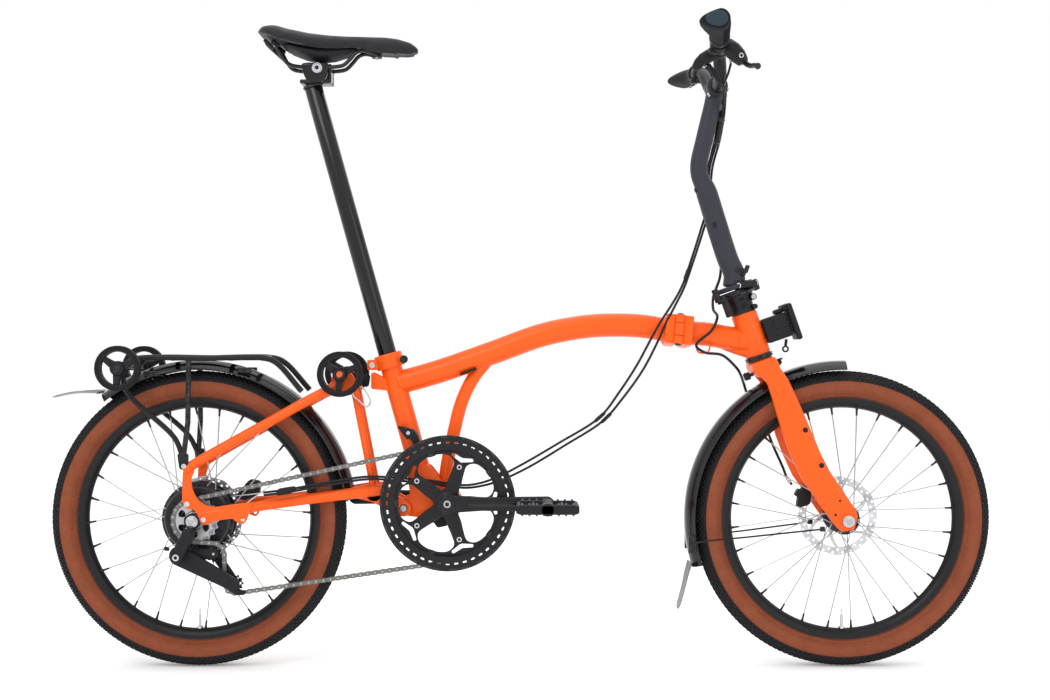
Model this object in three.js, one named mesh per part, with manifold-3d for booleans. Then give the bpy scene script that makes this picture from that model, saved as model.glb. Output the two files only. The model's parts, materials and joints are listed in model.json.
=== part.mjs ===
// A folding bicycle with 20-inch wheels, standing unfolded. Millimetres, +X forward, +Y to the rider's
// left, +Z up, with the origin on the floor under the middle of the bicycle. The chain is at -Y.
import * as THREE from 'three';
import { mergeVertices } from 'three/addons/utils/BufferGeometryUtils.js';
import Module from 'manifold-3d';

const wasm = await Module();
wasm.setup();

// ---------------------------------------------------------------- driving dimensions
const GAP = 0.3;                       // running or seating gap between two pieces
const SIDES = 8;                       // facets round an ordinary tube

// wheels: 54-406 tyres
const WHEEL_R = 257;
const TYRE_HALF = 27;
const RIM_IN = 192;
const RIM_OUT = 209;
const RIM_HALF = 14;
const SPOKES = 28;
const SPOKE_R = 1.3;
const ROTOR_R = 70;
const REAR_HUB = [-561, 257];
const FRONT_HUB = [560, 257];
const AXLE_R = 5;

// frame, as [x, z] points in the middle plane
const SEAT_TOP = [-229.4, 529.5];
const SEAT_LOW = [-170, 316];
const SEAT_TUBE_R = 18.5;
const SEAT_BORE_R = 16.3;
const BB = [-125.5, 287.4];
const BB_HALF = 34;
const PIVOT = [-203.3, 276];
const MAIN_TUBE_R = 20.5;
const HINGE = [273, 582];
const TUBE_SLOPE = THREE.MathUtils.degToRad(6.2);   // the main tube falls forward at its hinge
const HINGE_LEAN = THREE.MathUtils.degToRad(6);     // sideways lean of the hinge pin
const HINGE_PIN_Y = -34;
const HINGE_PIN_R = 5;

// steering axis and front end
const HEAD_TOP = [389.2, 613.8];
const HEAD_LOW = [414.3, 542];
const STEER_SIN = 0.3305;
const STEER_COS = 0.9438;
const STEM_Z = 655;                    // height of the stem hinge plane on the steering axis
const STEM_TURN = THREE.MathUtils.degToRad(48);     // the stem folds this far left of straight ahead
const STEM_REACH = 38;                 // stem hinge pin, from the steering axis
const BAR = [341, 1008];
const BAR_HALF = 290;

// drivetrain
const CHAIN_Y = -52;
const RING_R = 96;
const GUARD_R = 116.5;
const CRANK = 170;
const CRANK_IN = 61;
const CRANK_OUT = 75;
const PEDAL_IN = 85;
const PEDAL_OUT = 175;
const KNUCKLE = [-583, 199];
const UPPER_PULLEY = [-526, 201];
const LOWER_PULLEY = [-491, 150];

// seat
const POST_R = 15.9;
const POST_INSERT = 120;
const POST_OUT = 496;

// ---------------------------------------------------------------- materials
function paint(colour, roughness, metalness) {
  return new THREE.MeshStandardMaterial({ color: colour, roughness, metalness });
}
const ORANGE = paint(0xff5a14, 0.35, 0.1);
const BLACK = paint(0x18181a, 0.45, 0.1);
const GLOSS_BLACK = paint(0x0c0c0e, 0.15, 0.1);
const DARK = paint(0x2c2d30, 0.5, 0.3);
const RUBBER = paint(0x202022, 0.85, 0);
const TAN = paint(0x965037, 0.8, 0);
const STEEL = paint(0xb8bac0, 0.3, 1);
const CABLE = paint(0x101012, 0.6, 0);

// ---------------------------------------------------------------- solids
function solid(geometry) {
  const bare = geometry.index ? geometry.toNonIndexed() : geometry.clone();
  bare.deleteAttribute('normal');
  bare.deleteAttribute('uv');
  const merged = mergeVertices(bare, 1e-3);
  const vertProperties = new Float32Array(merged.attributes.position.array);
  const triVerts = new Uint32Array(merged.index.array);
  return new wasm.Manifold(new wasm.Mesh({ numProp: 3, vertProperties, triVerts }));
}
const join = (...pieces) => pieces.flat().reduce((whole, piece) => whole.add(piece));
const cut = (piece, ...tools) => tools.flat().reduce((rest, tool) => rest.subtract(tool), piece);

function geometryOf(piece) {
  const { numProp, vertProperties, triVerts } = piece.getMesh();
  const count = vertProperties.length / numProp;
  const points = new Float32Array(count * 3);
  for (let i = 0; i < count; i += 1) {
    for (let k = 0; k < 3; k += 1) points[i * 3 + k] = vertProperties[i * numProp + k];
  }
  const geometry = new THREE.BufferGeometry();
  geometry.setAttribute('position', new THREE.BufferAttribute(points, 3));
  geometry.setIndex(new THREE.BufferAttribute(new Uint32Array(triVerts), 1));
  geometry.computeVertexNormals();
  return geometry;
}

const at = (x, y, z) => new THREE.Vector3(x, y, z);

// A straight round bar between two points, with radius r at the first and r2 at the second.
function rod(a, b, r, sides = SIDES, r2 = r) {
  const way = b.clone().sub(a);
  const geometry = new THREE.CylinderGeometry(r2, r, way.length(), sides);
  geometry.applyQuaternion(new THREE.Quaternion().setFromUnitVectors(at(0, 1, 0), way.clone().normalize()));
  geometry.translate(...a.clone().add(b).multiplyScalar(0.5).toArray());
  return solid(geometry);
}
const across = ([x, z], y0, y1, r, sides = SIDES) => rod(at(x, y0, z), at(x, y1, z), r, sides);

// A round tube along a smooth curve through the points.
function tube(points, r, steps, sides = SIDES) {
  const turn = (i) => i * 2 * Math.PI / sides;
  const corner = (i) => new THREE.Vector2(r * Math.cos(turn(i)), r * Math.sin(turn(i)));
  const section = new THREE.Shape(Array.from({ length: sides }, (_, i) => corner(i)));
  const extrudePath = new THREE.CatmullRomCurve3(points, false, 'centripetal');
  return solid(new THREE.ExtrudeGeometry(section, { steps, extrudePath, bevelEnabled: false }));
}

// A flat plate: an outline in x and z, from y0 to y1.
function plate(outline, y0, y1, holes = [], curveSegments = 5) {
  const shape = outline instanceof THREE.Shape ? outline : polygon(outline);
  shape.holes.push(...holes);
  const geometry = new THREE.ExtrudeGeometry(shape, { depth: y1 - y0, bevelEnabled: false, curveSegments });
  geometry.rotateX(Math.PI / 2);
  geometry.translate(0, y1, 0);
  return solid(geometry);
}
// A low and a high y for a stretch on one side, whichever side it is.
const span = (side, a, b) => [side * a, side * b].sort((p, q) => p - q);
const polygon = (points) => new THREE.Shape(points.map(([x, z]) => new THREE.Vector2(x, z)));

// An outline round two circles joined by their tangents.
function link([x0, z0], r0, [x1, z1], r1) {
  const along = Math.atan2(z1 - z0, x1 - x0);
  const turn = Math.acos((r0 - r1) / Math.hypot(x1 - x0, z1 - z0));
  const shape = new THREE.Shape();
  shape.absarc(x0, z0, r0, along + turn, along - turn + 2 * Math.PI);
  shape.absarc(x1, z1, r1, along - turn, along + turn);
  return shape;
}

// A ring sector as an outline in x and z; angles in degrees from straight ahead.
function sector([x, z], inner, outer, from, to) {
  const [a, b] = [from, to].map(THREE.MathUtils.degToRad);
  const shape = new THREE.Shape();
  shape.absarc(x, z, outer, a, b);
  shape.absarc(x, z, inner, b, a, true);
  return shape;
}

// A solid of revolution about the Y line through [x, z]; the profile is a closed loop of [radius, y].
function turned([x, z], profile, segments = 32) {
  const loop = [...profile, profile[0]].map(([r, y]) => new THREE.Vector2(r, y));
  const geometry = new THREE.LatheGeometry(loop, segments);
  geometry.translate(x, 0, z);
  const made = solid(geometry);
  return made.volume() > 0 ? made : solid(flipped(geometry));
}
function flipped(geometry) {
  const order = geometry.index.array;
  for (let i = 0; i < order.length; i += 3) [order[i], order[i + 1]] = [order[i + 1], order[i]];
  return geometry;
}

function box(x0, x1, y0, y1, z0, z1) {
  const geometry = new THREE.BoxGeometry(x1 - x0, y1 - y0, z1 - z0);
  geometry.translate((x0 + x1) / 2, (y0 + y1) / 2, (z0 + z1) / 2);
  return solid(geometry);
}

// A box centred on a point, turned so that its own X, Y and Z lie along three directions.
function turnedBox(centre, [ax, ay, az], [sx, sy, sz]) {
  const geometry = new THREE.BoxGeometry(sx, sy, sz);
  geometry.applyMatrix4(new THREE.Matrix4().makeBasis(ax, ay, az).setPosition(centre));
  return solid(geometry);
}

const bicycle = new THREE.Group();
bicycle.name = 'folding_bicycle';
function add(name, piece, material) {
  const mesh = new THREE.Mesh(geometryOf(piece), material.clone());
  mesh.name = name;
  bicycle.add(mesh);
}

// ---------------------------------------------------------------- main frame hinge
const tubeWay = at(Math.cos(TUBE_SLOPE), 0, -Math.sin(TUBE_SLOPE));
const pinWay = at(Math.sin(TUBE_SLOPE), Math.sin(HINGE_LEAN), Math.cos(TUBE_SLOPE) * Math.cos(HINGE_LEAN));
pinWay.normalize();
const outWay = new THREE.Vector3().crossVectors(pinWay, tubeWay).normalize();
const faceWay = new THREE.Vector3().crossVectors(outWay, pinWay).normalize();
const hingeCentre = at(HINGE[0], 0, HINGE[1]);
const pinCentre = hingeCentre.clone().addScaledVector(outWay, HINGE_PIN_Y);
const onPin = (along) => pinCentre.clone().addScaledVector(pinWay, along);
const KNUCKLE_R = 11;
const HINGE_HALF = 26;                 // half the hinge's height and width
const KNUCKLE_SPLIT = 11.5;            // half the height of the middle knuckle
const SEAM = 0.5;                      // half the gap between the two faces
const THROUGH = 40;                    // a cutting bar reaches this far past a pin's middle

function hingeHalf(side) {
  const length = 24;
  const centre = hingeCentre.clone().addScaledVector(faceWay, side * (length / 2 + SEAM));
  const block = turnedBox(centre, [faceWay, outWay, pinWay], [length, 2 * HINGE_HALF, 2 * HINGE_HALF]);
  const arm = hingeCentre.clone().addScaledVector(faceWay, side * (7 + SEAM)).addScaledVector(outWay, -28);
  return join(block, turnedBox(arm, [faceWay, outWay, pinWay], [14, 16, 2 * HINGE_HALF]));
}
const barrel = (from, to, r) => rod(onPin(from), onPin(to), r, 12);

function rearHinge() {
  const reach = KNUCKLE_SPLIT - 0.6;
  const slots = [[-HINGE_HALF - 3, -reach], [reach, HINGE_HALF + 3]]
    .map(([from, to]) => barrel(from, to, KNUCKLE_R + 1));
  const body = cut(hingeHalf(-1), slots);
  return cut(join(body, barrel(-reach, reach, KNUCKLE_R)), barrel(-THROUGH, THROUGH, HINGE_PIN_R + 0.2));
}
function frontHinge() {
  const barrels = [[-HINGE_HALF, -KNUCKLE_SPLIT], [KNUCKLE_SPLIT, HINGE_HALF]]
    .map(([from, to]) => barrel(from, to, KNUCKLE_R));
  const slot = barrel(-KNUCKLE_SPLIT, KNUCKLE_SPLIT, KNUCKLE_R + 1);
  return cut(join(hingeHalf(1), barrels), slot, barrel(-THROUGH, THROUGH, HINGE_PIN_R + 0.2));
}

// ---------------------------------------------------------------- main frame
const seatWay = at(SEAT_LOW[0] - SEAT_TOP[0], 0, SEAT_LOW[1] - SEAT_TOP[1]).normalize();
const onSeat = (down) => at(SEAT_TOP[0], 0, SEAT_TOP[1]).addScaledVector(seatWay, down);
const seatBore = rod(onSeat(-30), onSeat(420), SEAT_BORE_R, 16);

function mainFrame() {
  const seatTube = rod(onSeat(0), at(SEAT_LOW[0], 0, SEAT_LOW[1]), SEAT_TUBE_R, 16);
  const line = [
    [-215, 492], [-145, 512], [-47, 546], [33, 575], [86, 587], [138, 593], [208, 592], [258, 584],
  ];
  const mainTube = tube(line.map(([x, z]) => at(x, 0, z)), MAIN_TUBE_R, 12);
  const bend = [[-54, 538], [-103, 461], [-117.6, 405], [-130, 344], [-133, 300]];
  const brace = tube(bend.map(([x, z]) => at(x, 0, z)), 11.5, 9);
  const shell = across(BB, -BB_HALF, BB_HALF, 20, 16);
  const lugOutline = [
    [-199, 345], [-160, 352], [-133, 318], [-108, 300], [-110, 274], [-130, 268], [-165, 258],
    [-196, 262], [-214, 266], [-217, 284], [-205, 292], [-192, 298],
  ];
  const lugs = [plate(lugOutline, 17, 23), plate(lugOutline, -23, -17)];
  const stopOutline = [[-261, 482], [-261, 510], [-256, 511], [-234, 500], [-226, 478], [-240, 480]];
  const stop = plate(stopOutline, -12, 12);
  const whole = join(seatTube, mainTube, brace, shell, lugs, stop, rearHinge());
  return cut(whole, seatBore, across(BB, -50, 50, 17, 16), across(PIVOT, -40, 40, 6 + GAP));
}

const LUG = [-258, 524];                // the bolt that closes the seat clamp
function seatClamp() {
  const collar = rod(onSeat(-14), onSeat(11), 24.5, 16);
  const lug = box(LUG[0] - 10, LUG[0] + 12, -13, 13, LUG[1] - 9, LUG[1] + 9);
  const bore = rod(onSeat(-30), onSeat(60), SEAT_TUBE_R + GAP, 16);
  const slit = box(LUG[0] - 20, LUG[0] + 20, -1.5, 1.5, LUG[1] - 30, LUG[1] + 30);
  return cut(join(collar, lug), bore, slit);
}

function seatLatch() {
  const pivot = at(LUG[0], 0, LUG[1]);
  const cam = rod(pivot.clone().setY(16), pivot.clone().setY(27), 6.5);
  const tip = pivot.clone().add(at(44, 0, 4));
  return join(cam, plate(link([pivot.x, pivot.z], 6.5, [tip.x, tip.z], 5), 26, 31));
}

add('main_frame', mainFrame(), ORANGE);
add('seat_clamp', seatClamp(), ORANGE);
add('seat_latch', seatLatch(), BLACK);
add('hinge_pin', barrel(-HINGE_HALF - 2, HINGE_HALF + 2, HINGE_PIN_R), BLACK);
add('pivot_pin', across(PIVOT, -34, 34, 6), STEEL);
const cartridge = across(BB, -BB_HALF - 2, BB_HALF + 2, 16.3, 16);
add('bottom_bracket', cut(cartridge, across(BB, -60, 60, 8.8, 12)), DARK);

const catcher = [[-212, 419], [-183, 411], [-176, 400], [-174, 384], [-182, 384], [-190, 398], [-196, 396]];
const catcherSeat = rod(onSeat(0), onSeat(300), SEAT_TUBE_R + GAP, 16);
add('chain_catcher', cut(plate(catcher, -44, -14), catcherSeat), BLACK);

// the clamp plate that holds the main hinge shut, on the left
const latchCentre = hingeCentre.clone().addScaledVector(outWay, HINGE_HALF + 5);
add('frame_latch', turnedBox(latchCentre, [faceWay, outWay, pinWay], [46, 8, 34]), BLACK);

// ---------------------------------------------------------------- wheels
function tyre(hub) {
  const r0 = RIM_OUT + GAP;
  const left = [[r0, 12], [r0 + 12, 24], [r0 + 26, TYRE_HALF], [r0 + 38, 24], [WHEEL_R, 10]];
  return turned(hub, [...left, ...left.map(([r, y]) => [r, -y]).reverse()], 32);
}

// A point at a radius and an angle round a hub.
const around = ([x, z], r, angle, y) => at(x + r * Math.cos(angle), y, z + r * Math.sin(angle));

function rimAndSpokes(hub, flangeR, flangeY) {
  const rim = turned(hub, [[RIM_IN, 7], [RIM_OUT, RIM_HALF], [RIM_OUT, -RIM_HALF], [RIM_IN, -7]], 32);
  const parts = [rim];
  for (const side of [-1, 1]) {
    const [y0, y1] = [side * flangeY - 1.5, side * flangeY + 1.5];
    const inner = flangeR + GAP;
    parts.push(turned(hub, [[inner, y0], [inner + 5, y0], [inner + 5, y1], [inner, y1]], 16));
  }
  for (let i = 0; i < SPOKES; i += 1) {
    const angle = (i * 2 * Math.PI) / SPOKES;
    const lean = 0.35 * (i % 4 < 2 ? 1 : -1);
    const side = i % 2 ? 1 : -1;
    const foot = around(hub, flangeR + 2.5, angle + lean, side * flangeY);
    const head = around(hub, RIM_IN + 4, angle, side * 3);
    parts.push(rod(foot, head, SPOKE_R, 3));
  }
  return join(parts);
}

function rotor(hub, y) {
  const disc = [[24, y - 1], [44, y - 1], [44, y + 1], [24, y + 1]];
  const track = [[56, y - 1], [ROTOR_R, y - 1], [ROTOR_R, y + 1], [56, y + 1]];
  const parts = [turned(hub, disc, 16), turned(hub, track, 16)];
  for (let i = 0; i < 6; i += 1) {
    const [c, s] = [Math.cos(i * Math.PI / 3), Math.sin(i * Math.PI / 3)];
    const centre = at(hub[0] + 50 * c, y, hub[1] + 50 * s);
    parts.push(turnedBox(centre, [at(c, 0, s), at(0, 1, 0), at(-s, 0, c)], [18, 2, 6]));
  }
  return join(parts);
}

function axle(hub, half, nutIn, nutR) {
  const nuts = [across(hub, -half, -nutIn, nutR, 12), across(hub, nutIn, half, nutR, 12)];
  return join(across(hub, -half, half, AXLE_R), nuts);
}

const REAR_ROTOR_Y = 40;
const FRONT_ROTOR_Y = 34;
add('rear_tyre', tyre(REAR_HUB), TAN);
add('rear_rim', rimAndSpokes(REAR_HUB, 57, 16), BLACK);
add('rear_hub', turned(REAR_HUB, [
  [6, -59], [11.5, -59], [11.5, -37], [30, -34], [54, -31], [56.7, -27], [56.7, 27], [54, 31], [23.5, 34],
  [23.5, 43], [12, 43], [12, 60], [6, 60],
], 16), DARK);
add('rear_rotor', rotor(REAR_HUB, REAR_ROTOR_Y), STEEL);
add('rear_axle', axle(REAR_HUB, 82, 69, 9), STEEL);
add('front_tyre', tyre(FRONT_HUB), TAN);
add('front_rim', rimAndSpokes(FRONT_HUB, 21, 26), BLACK);
add('front_hub', turned(FRONT_HUB, [
  [6, -44], [12, -44], [12, -32], [20.7, -30], [20.7, -22], [14, -18], [14, 18], [20.7, 22], [20.7, 30],
  [23.5, 31], [23.5, 37], [12, 38], [12, 44], [6, 44],
], 16), DARK);
add('front_rotor', rotor(FRONT_HUB, FRONT_ROTOR_Y), STEEL);
add('front_axle', axle(FRONT_HUB, 72, 64, 9), STEEL);

// ---------------------------------------------------------------- rear frame, which swings on the pivot pin
const STAY_R = 9;
function rearFrame() {
  const parts = [];
  for (const side of [-1, 1]) {
    const place = (points) => points.map(([x, y, z]) => at(x, side * y, z));
    const lower = [[-258, 31, 305], [-305, 38.5, 301], [-397, 39.5, 289], [-470, 57, 279], [-545, 66, 268]];
    const upper = [[-582, 65, 340], [-420, 49, 433], [-365, 43, 464], [-315, 34, 490]];
    parts.push(tube(place(lower), STAY_R, 7, 8), tube(place(upper), 8.5, 4, 8));
    parts.push(rod(...place([[-290, 25, 490], [-255, 26, 312]]), 6.5));
    parts.push(plate(link(PIVOT, 14, [-254, 303], 17), ...span(side, 23.4, 31)));
    parts.push(plate(link([-254, 303], 17, [-284, 304], 10), ...span(side, 23.4, 31)));
    const top = [[-332, 486], [-322, 517], [-300, 520], [-281, 492], [-284, 474], [-310, 478]];
    parts.push(plate(top, ...span(side, 20, 33)));
    const dropout = [
      [-596, 346], [-568, 352], [-553, 304], [-532, 284], [-528, 258], [-548, 241], [-575, 238],
      [-592, 252], [-600, 292],
    ];
    parts.push(plate(dropout, ...span(side, 61.5, 68)));
    parts.push(rod(...place([[-310, 30, 508.5], [-310, 66, 508.5]]), 5));
  }
  parts.push(rod(at(-283, -30, 301), at(-283, 30, 301), 5.5));
  parts.push(rod(at(-312, -32, 503), at(-312, 32, 503), 8));
  return cut(join(parts), across(REAR_HUB, -90, 90, AXLE_R + GAP), across(PIVOT, -50, 50, 6.7));
}
add('rear_frame', rearFrame(), ORANGE);
add('suspension_block', rod(at(-299, 0, 501), at(-265, 0, 496), 12, 16), BLACK);

function rearMudguard() {
  const blade = plate(sector(REAR_HUB, 272, 275, 12, 128), -31, 31, [], 14);
  const flap = [[-724, 466], [-730, 475], [-775, 474], [-817, 467], [-817, 464], [-775, 471], [-728, 470]];
  return join(blade, plate(flap, -28, 28));
}
add('rear_mudguard', rearMudguard(), GLOSS_BLACK);

const RACK_R = 5;
function rack() {
  const parts = [];
  for (const side of [-1, 1]) {
    const place = (points) => points.map(([x, y, z]) => at(x, side * y, z));
    const rail = [[-672, 47, 531], [-655, 47, 536], [-545, 47, 536], [-440, 47, 536], [-376, 52, 479]];
    parts.push(tube(place(rail), RACK_R, 7, 6));
    parts.push(rod(...place([[-571, 47, 536], [-571, 54, 420]]), RACK_R, 6));
    parts.push(rod(...place([[-571, 54, 424], [-577, 64.5, 361]]), RACK_R, 6));
    const brace = [[-681, 47, 521], [-681, 49, 481], [-594, 55, 400], [-578, 62, 368]];
    parts.push(tube(place(brace), RACK_R, 6, 6));
    parts.push(rod(...place([[-681, 40, 519], [-681, 104, 519]]), RACK_R, 6));
  }
  for (const [x, z] of [[-681, 519], [-655, 536], [-600, 536], [-500, 536], [-445, 536]]) {
    parts.push(rod(at(x, -48, z), at(x, 48, z), RACK_R, 6));
  }
  return join(parts);
}
add('rack', rack(), BLACK);

const RACK_ROLLER = [-681, 519];
const FRAME_ROLLER = [-310, 508.5];
function roller(centre, y, radius) {
  const half = 8;
  const low = [
    [5.4, y - half], [13, y - half], [radius - 9, y - 4], [radius - 7, y - half], [radius, y - half],
  ];
  return turned(centre, [...low, ...low.map(([r, depth]) => [r, 2 * y - depth]).reverse()], 12);
}
add('rack_roller_right', roller(RACK_ROLLER, -94, 38.3), BLACK);
add('rack_roller_left', roller(RACK_ROLLER, 94, 38.3), BLACK);
add('frame_roller_right', roller(FRAME_ROLLER, -55, 39), BLACK);
add('frame_roller_left', roller(FRAME_ROLLER, 55, 39), BLACK);

// ---------------------------------------------------------------- brakes
add('rear_calliper', cut(
  plate([[-507, 291], [-498, 300], [-480, 322], [-458, 318], [-462, 292], [-490, 282]], 30, 46.5),
  turned(REAR_HUB, [[10, 37.5], [73, 37.5], [73, 42.5], [10, 42.5]], 28),
), BLACK);
add('front_calliper', cut(
  plate([[486, 270], [490, 300], [500, 312], [514, 300], [512, 276]], 28, 42.4),
  turned(FRONT_HUB, [[10, 31.5], [73, 31.5], [73, 36.5], [10, 36.5]], 28),
), BLACK);

// ---------------------------------------------------------------- drivetrain
function cassette() {
  const y = (depth) => -38 - depth;
  return turned(REAR_HUB, [
    [12, y(0.5)], [41, y(0.5)], [41, y(3)], [37, y(3)], [37, y(7)], [32.5, y(7)], [32.5, y(17.5)],
    [12, y(17.5)],
  ], 24);
}
add('cassette', cassette(), STEEL);

function hole([x, z], r) {
  const path = new THREE.Path();
  path.absarc(x, z, r, 0, 2 * Math.PI, true);
  return path;
}
function chainring() {
  const disc = new THREE.Shape();
  disc.absarc(BB[0], BB[1], RING_R, 0, 2 * Math.PI);
  const windows = [];
  for (let i = 0; i < 5; i += 1) {
    const angle = THREE.MathUtils.degToRad(36 + 72 * i);
    windows.push(hole([BB[0] + 55 * Math.cos(angle), BB[1] + 55 * Math.sin(angle)], 23));
  }
  const ring = plate(disc, CHAIN_Y - 2, CHAIN_Y + 2, [hole(BB, 8.3), ...windows], 6);
  const guard = turned(BB, [
    [88, CHAIN_Y - 6.5], [GUARD_R, CHAIN_Y - 6.5], [GUARD_R, CHAIN_Y - 4.5], [RING_R, CHAIN_Y - 4.5],
    [RING_R, CHAIN_Y - 1], [88, CHAIN_Y - 1],
  ], 24);
  return join(ring, guard);
}
add('chainring', chainring(), BLACK);

function crank(side) {
  const end = [BB[0] - side * CRANK, BB[1]];
  const arm = plate(link(BB, 17, end, 13), ...span(side, CRANK_IN, CRANK_OUT));
  const whole = join(arm, across(end, ...span(side, CRANK_OUT - 1, PEDAL_OUT - 8), 6));
  return side < 0 ? join(whole, across(BB, -70, 71.5, 8)) : cut(whole, across(BB, 40, 72, 8.3));
}
add('right_crank', crank(-1), BLACK);
add('left_crank', crank(1), BLACK);

function pedal(side) {
  const centre = [BB[0] - side * CRANK, BB[1]];
  const ys = span(side, PEDAL_IN, PEDAL_OUT);
  const body = box(centre[0] - 52.5, centre[0] + 52.5, ...ys, centre[1] - 8, centre[1] + 8);
  const core = across(centre, ...ys, 11);
  const windows = [];
  for (const shift of [-30, 30]) {
    const middle = centre[0] + shift;
    const gaps = [ys[0] + 12, ys[1] - 12];
    windows.push(box(middle - 15, middle + 15, ...gaps, centre[1] - 20, centre[1] + 20));
  }
  const bore = across(centre, side * (PEDAL_IN - 5), side * (PEDAL_OUT - 6), 6.9);
  return cut(join(cut(body, windows), core), bore);
}
add('right_pedal', pedal(-1), BLACK);
add('left_pedal', pedal(1), BLACK);

// the chain, as one flat band round the ring, the sprocket and the lower pulley
function chain() {
  const filled = (grow, half) => {
    const wheels = [[BB, 98.6 + grow], [REAR_HUB, 34.6 + grow], [LOWER_PULLEY, 17.5 + grow]];
    const [y0, y1] = [CHAIN_Y - half, CHAIN_Y + half];
    const spans = wheels.map((wheel, i) => plate(link(...wheel, ...wheels[(i + 1) % 3]), y0, y1, [], 6));
    return join(spans, plate([LOWER_PULLEY, BB, REAR_HUB], y0, y1));
  };
  return cut(filled(6, 3.5), filled(-1, 10));
}

function pulley(centre) {
  const y = CHAIN_Y;
  return turned(centre, [[3.4, y - 4], [15.5, y - 4], [15.5, y + 4], [3.4, y + 4]], 12);
}
add('upper_pulley', pulley(UPPER_PULLEY), DARK);
add('lower_pulley', pulley(LOWER_PULLEY), DARK);

function derailleurCage() {
  const [y0, y1] = [CHAIN_Y - 9, CHAIN_Y - 5];
  const upperArm = plate(link(KNUCKLE, 10, UPPER_PULLEY, 9), y0, y1);
  const lowerArm = plate(link(UPPER_PULLEY, 9, LOWER_PULLEY, 12), y0, y1);
  const pins = [UPPER_PULLEY, LOWER_PULLEY].map((centre) => across(centre, y0 + 1, CHAIN_Y + 4, 3));
  return join(upperArm, lowerArm, pins);
}
add('derailleur_cage', derailleurCage(), BLACK);

function derailleurBody() {
  const hanger = plate(link([-566, 236], 9, KNUCKLE, 13), -96, -74);
  const neck = across(KNUCKLE, -80, CHAIN_Y - 9 - GAP, 8);
  const mount = box(-576, -558, -96, -68.4, 224, 244);
  return join(hanger, neck, mount);
}
add('derailleur_body', derailleurBody(), BLACK);

// ---------------------------------------------------------------- front frame, fork and stem
const steerWay = at(-STEER_SIN, 0, STEER_COS);
const aheadWay = at(STEER_COS, 0, STEER_SIN);
const leftWay = at(0, 1, 0);
const headTop = at(HEAD_TOP[0], 0, HEAD_TOP[1]);
const onSteer = (z) => headTop.clone().addScaledVector(steerWay, (z - HEAD_TOP[1]) / STEER_COS);

function frontFrame() {
  const line = [[292, 580], [330, 577], [360, 571.5], [398, 566]];
  const tubePart = tube(line.map(([x, z]) => at(x, 0, z)), 21, 6);
  const head = rod(onSteer(HEAD_LOW[1]), onSteer(HEAD_TOP[1]), 22.5, 16);
  return cut(join(tubePart, head, frontHinge()), rod(onSteer(500), onSteer(660), 15.2, 16));
}
add('front_frame', frontFrame(), ORANGE);

const carrier = [[424, 570], [436, 563], [470, 566], [486, 574], [470, 632], [455, 634], [430, 622]];
add('carrier_block', cut(plate(carrier, -28, 28), rod(onSteer(500), onSteer(660), 22.5 + GAP, 16)), BLACK);
const headset = rod(onSteer(533.6), onSteer(541.4), 21.5, 16);
add('lower_headset', cut(headset, rod(onSteer(500), onSteer(660), 15.2, 16)), BLACK);

const BLADE_DEPTH = 16;
const BLADE_OUT = 47;                  // outer face of a fork blade at its top
const BLADE_TOP = 510;
const SPLAY = 15 / 250;                // how far a blade leans out on its way down
function forkBlade() {
  const leg = [
    [404, 515], [424, 503], [432, 470], [452, 398], [480, 330], [512, 284], [536, 250], [548, 238],
    [572, 240], [580, 256], [574, 276], [556, 302], [528, 344], [502, 402], [478, 462], [458, 500],
    [446, 521],
  ];
  const geometry = new THREE.ExtrudeGeometry(polygon(leg), { depth: BLADE_DEPTH, bevelEnabled: false });
  geometry.rotateX(Math.PI / 2);
  geometry.translate(0, BLADE_OUT, 0);
  const places = geometry.attributes.position;
  for (let i = 0; i < places.count; i += 1) {
    places.setY(i, places.getY(i) + SPLAY * (BLADE_TOP - places.getZ(i)));
  }
  return solid(geometry);
}
function fork() {
  const left = forkBlade();
  const right = left.mirror([0, 1, 0]);
  const crown = plate([[398, 525.4], [437, 539], [446, 521], [426, 501], [404, 507]], -48, 48);
  const steerer = rod(onSteer(525), onSteer(648), 14.3, 16);
  return cut(join(left, right, crown, steerer), across(FRONT_HUB, -90, 90, AXLE_R + GAP));
}
add('fork', fork(), ORANGE);

function frontMudguard() {
  const blade = plate(sector(FRONT_HUB, 272, 275, 89, 198), -31, 31, [], 14);
  const flap = plate([[296, 180], [302, 176], [276, 98], [272, 99], [286, 150]], -27, 27);
  const parts = [blade, flap];
  for (const side of [-1, 1]) {
    parts.push(rod(at(286, side * 29, 216), at(296, side * 36, 217), 2.5, 8));
    parts.push(rod(at(294, side * 36, 217), at(514, side * 58, 243), 2.5, 8));
  }
  return join(parts);
}
add('front_mudguard', frontMudguard(), GLOSS_BLACK);

const turnedAhead = (ahead, left) => aheadWay.clone().multiplyScalar(ahead).addScaledVector(leftWay, left);
const stemSide = turnedAhead(Math.cos(STEM_TURN), Math.sin(STEM_TURN));
const stemPin = turnedAhead(-Math.sin(STEM_TURN), Math.cos(STEM_TURN));
const stemAt = (side, pin, up) => onSteer(STEM_Z)
  .addScaledVector(stemSide, side)
  .addScaledVector(stemPin, pin)
  .addScaledVector(steerWay, up);
const stemAxes = [stemSide, stemPin, steerWay];
const alongStemPin = (from, to, r) => rod(stemAt(STEM_REACH, from, 0), stemAt(STEM_REACH, to, 0), r);

function stemBase() {
  const column = rod(onSteer(615), stemAt(0, 0, -2), 19, 16);
  const flange = turnedBox(stemAt(2, 0, -6), stemAxes, [66, 44, 11]);
  const ears = [-17, 17].map((pin) => turnedBox(stemAt(STEM_REACH, pin, -5), stemAxes, [12, 10, 16]));
  const eyes = [-17, 17].map((pin) => alongStemPin(pin - 5, pin + 5, 7));
  const upper = alongStemPin(-11.4, 11.4, 8.6);
  const pin = alongStemPin(-22, 22, 3);
  const body = cut(join(column, flange, ears, eyes), upper, rod(onSteer(600), onSteer(648.5), 14.6, 16));
  return join(body, pin);
}
add('stem_base', stemBase(), BLACK);

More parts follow.
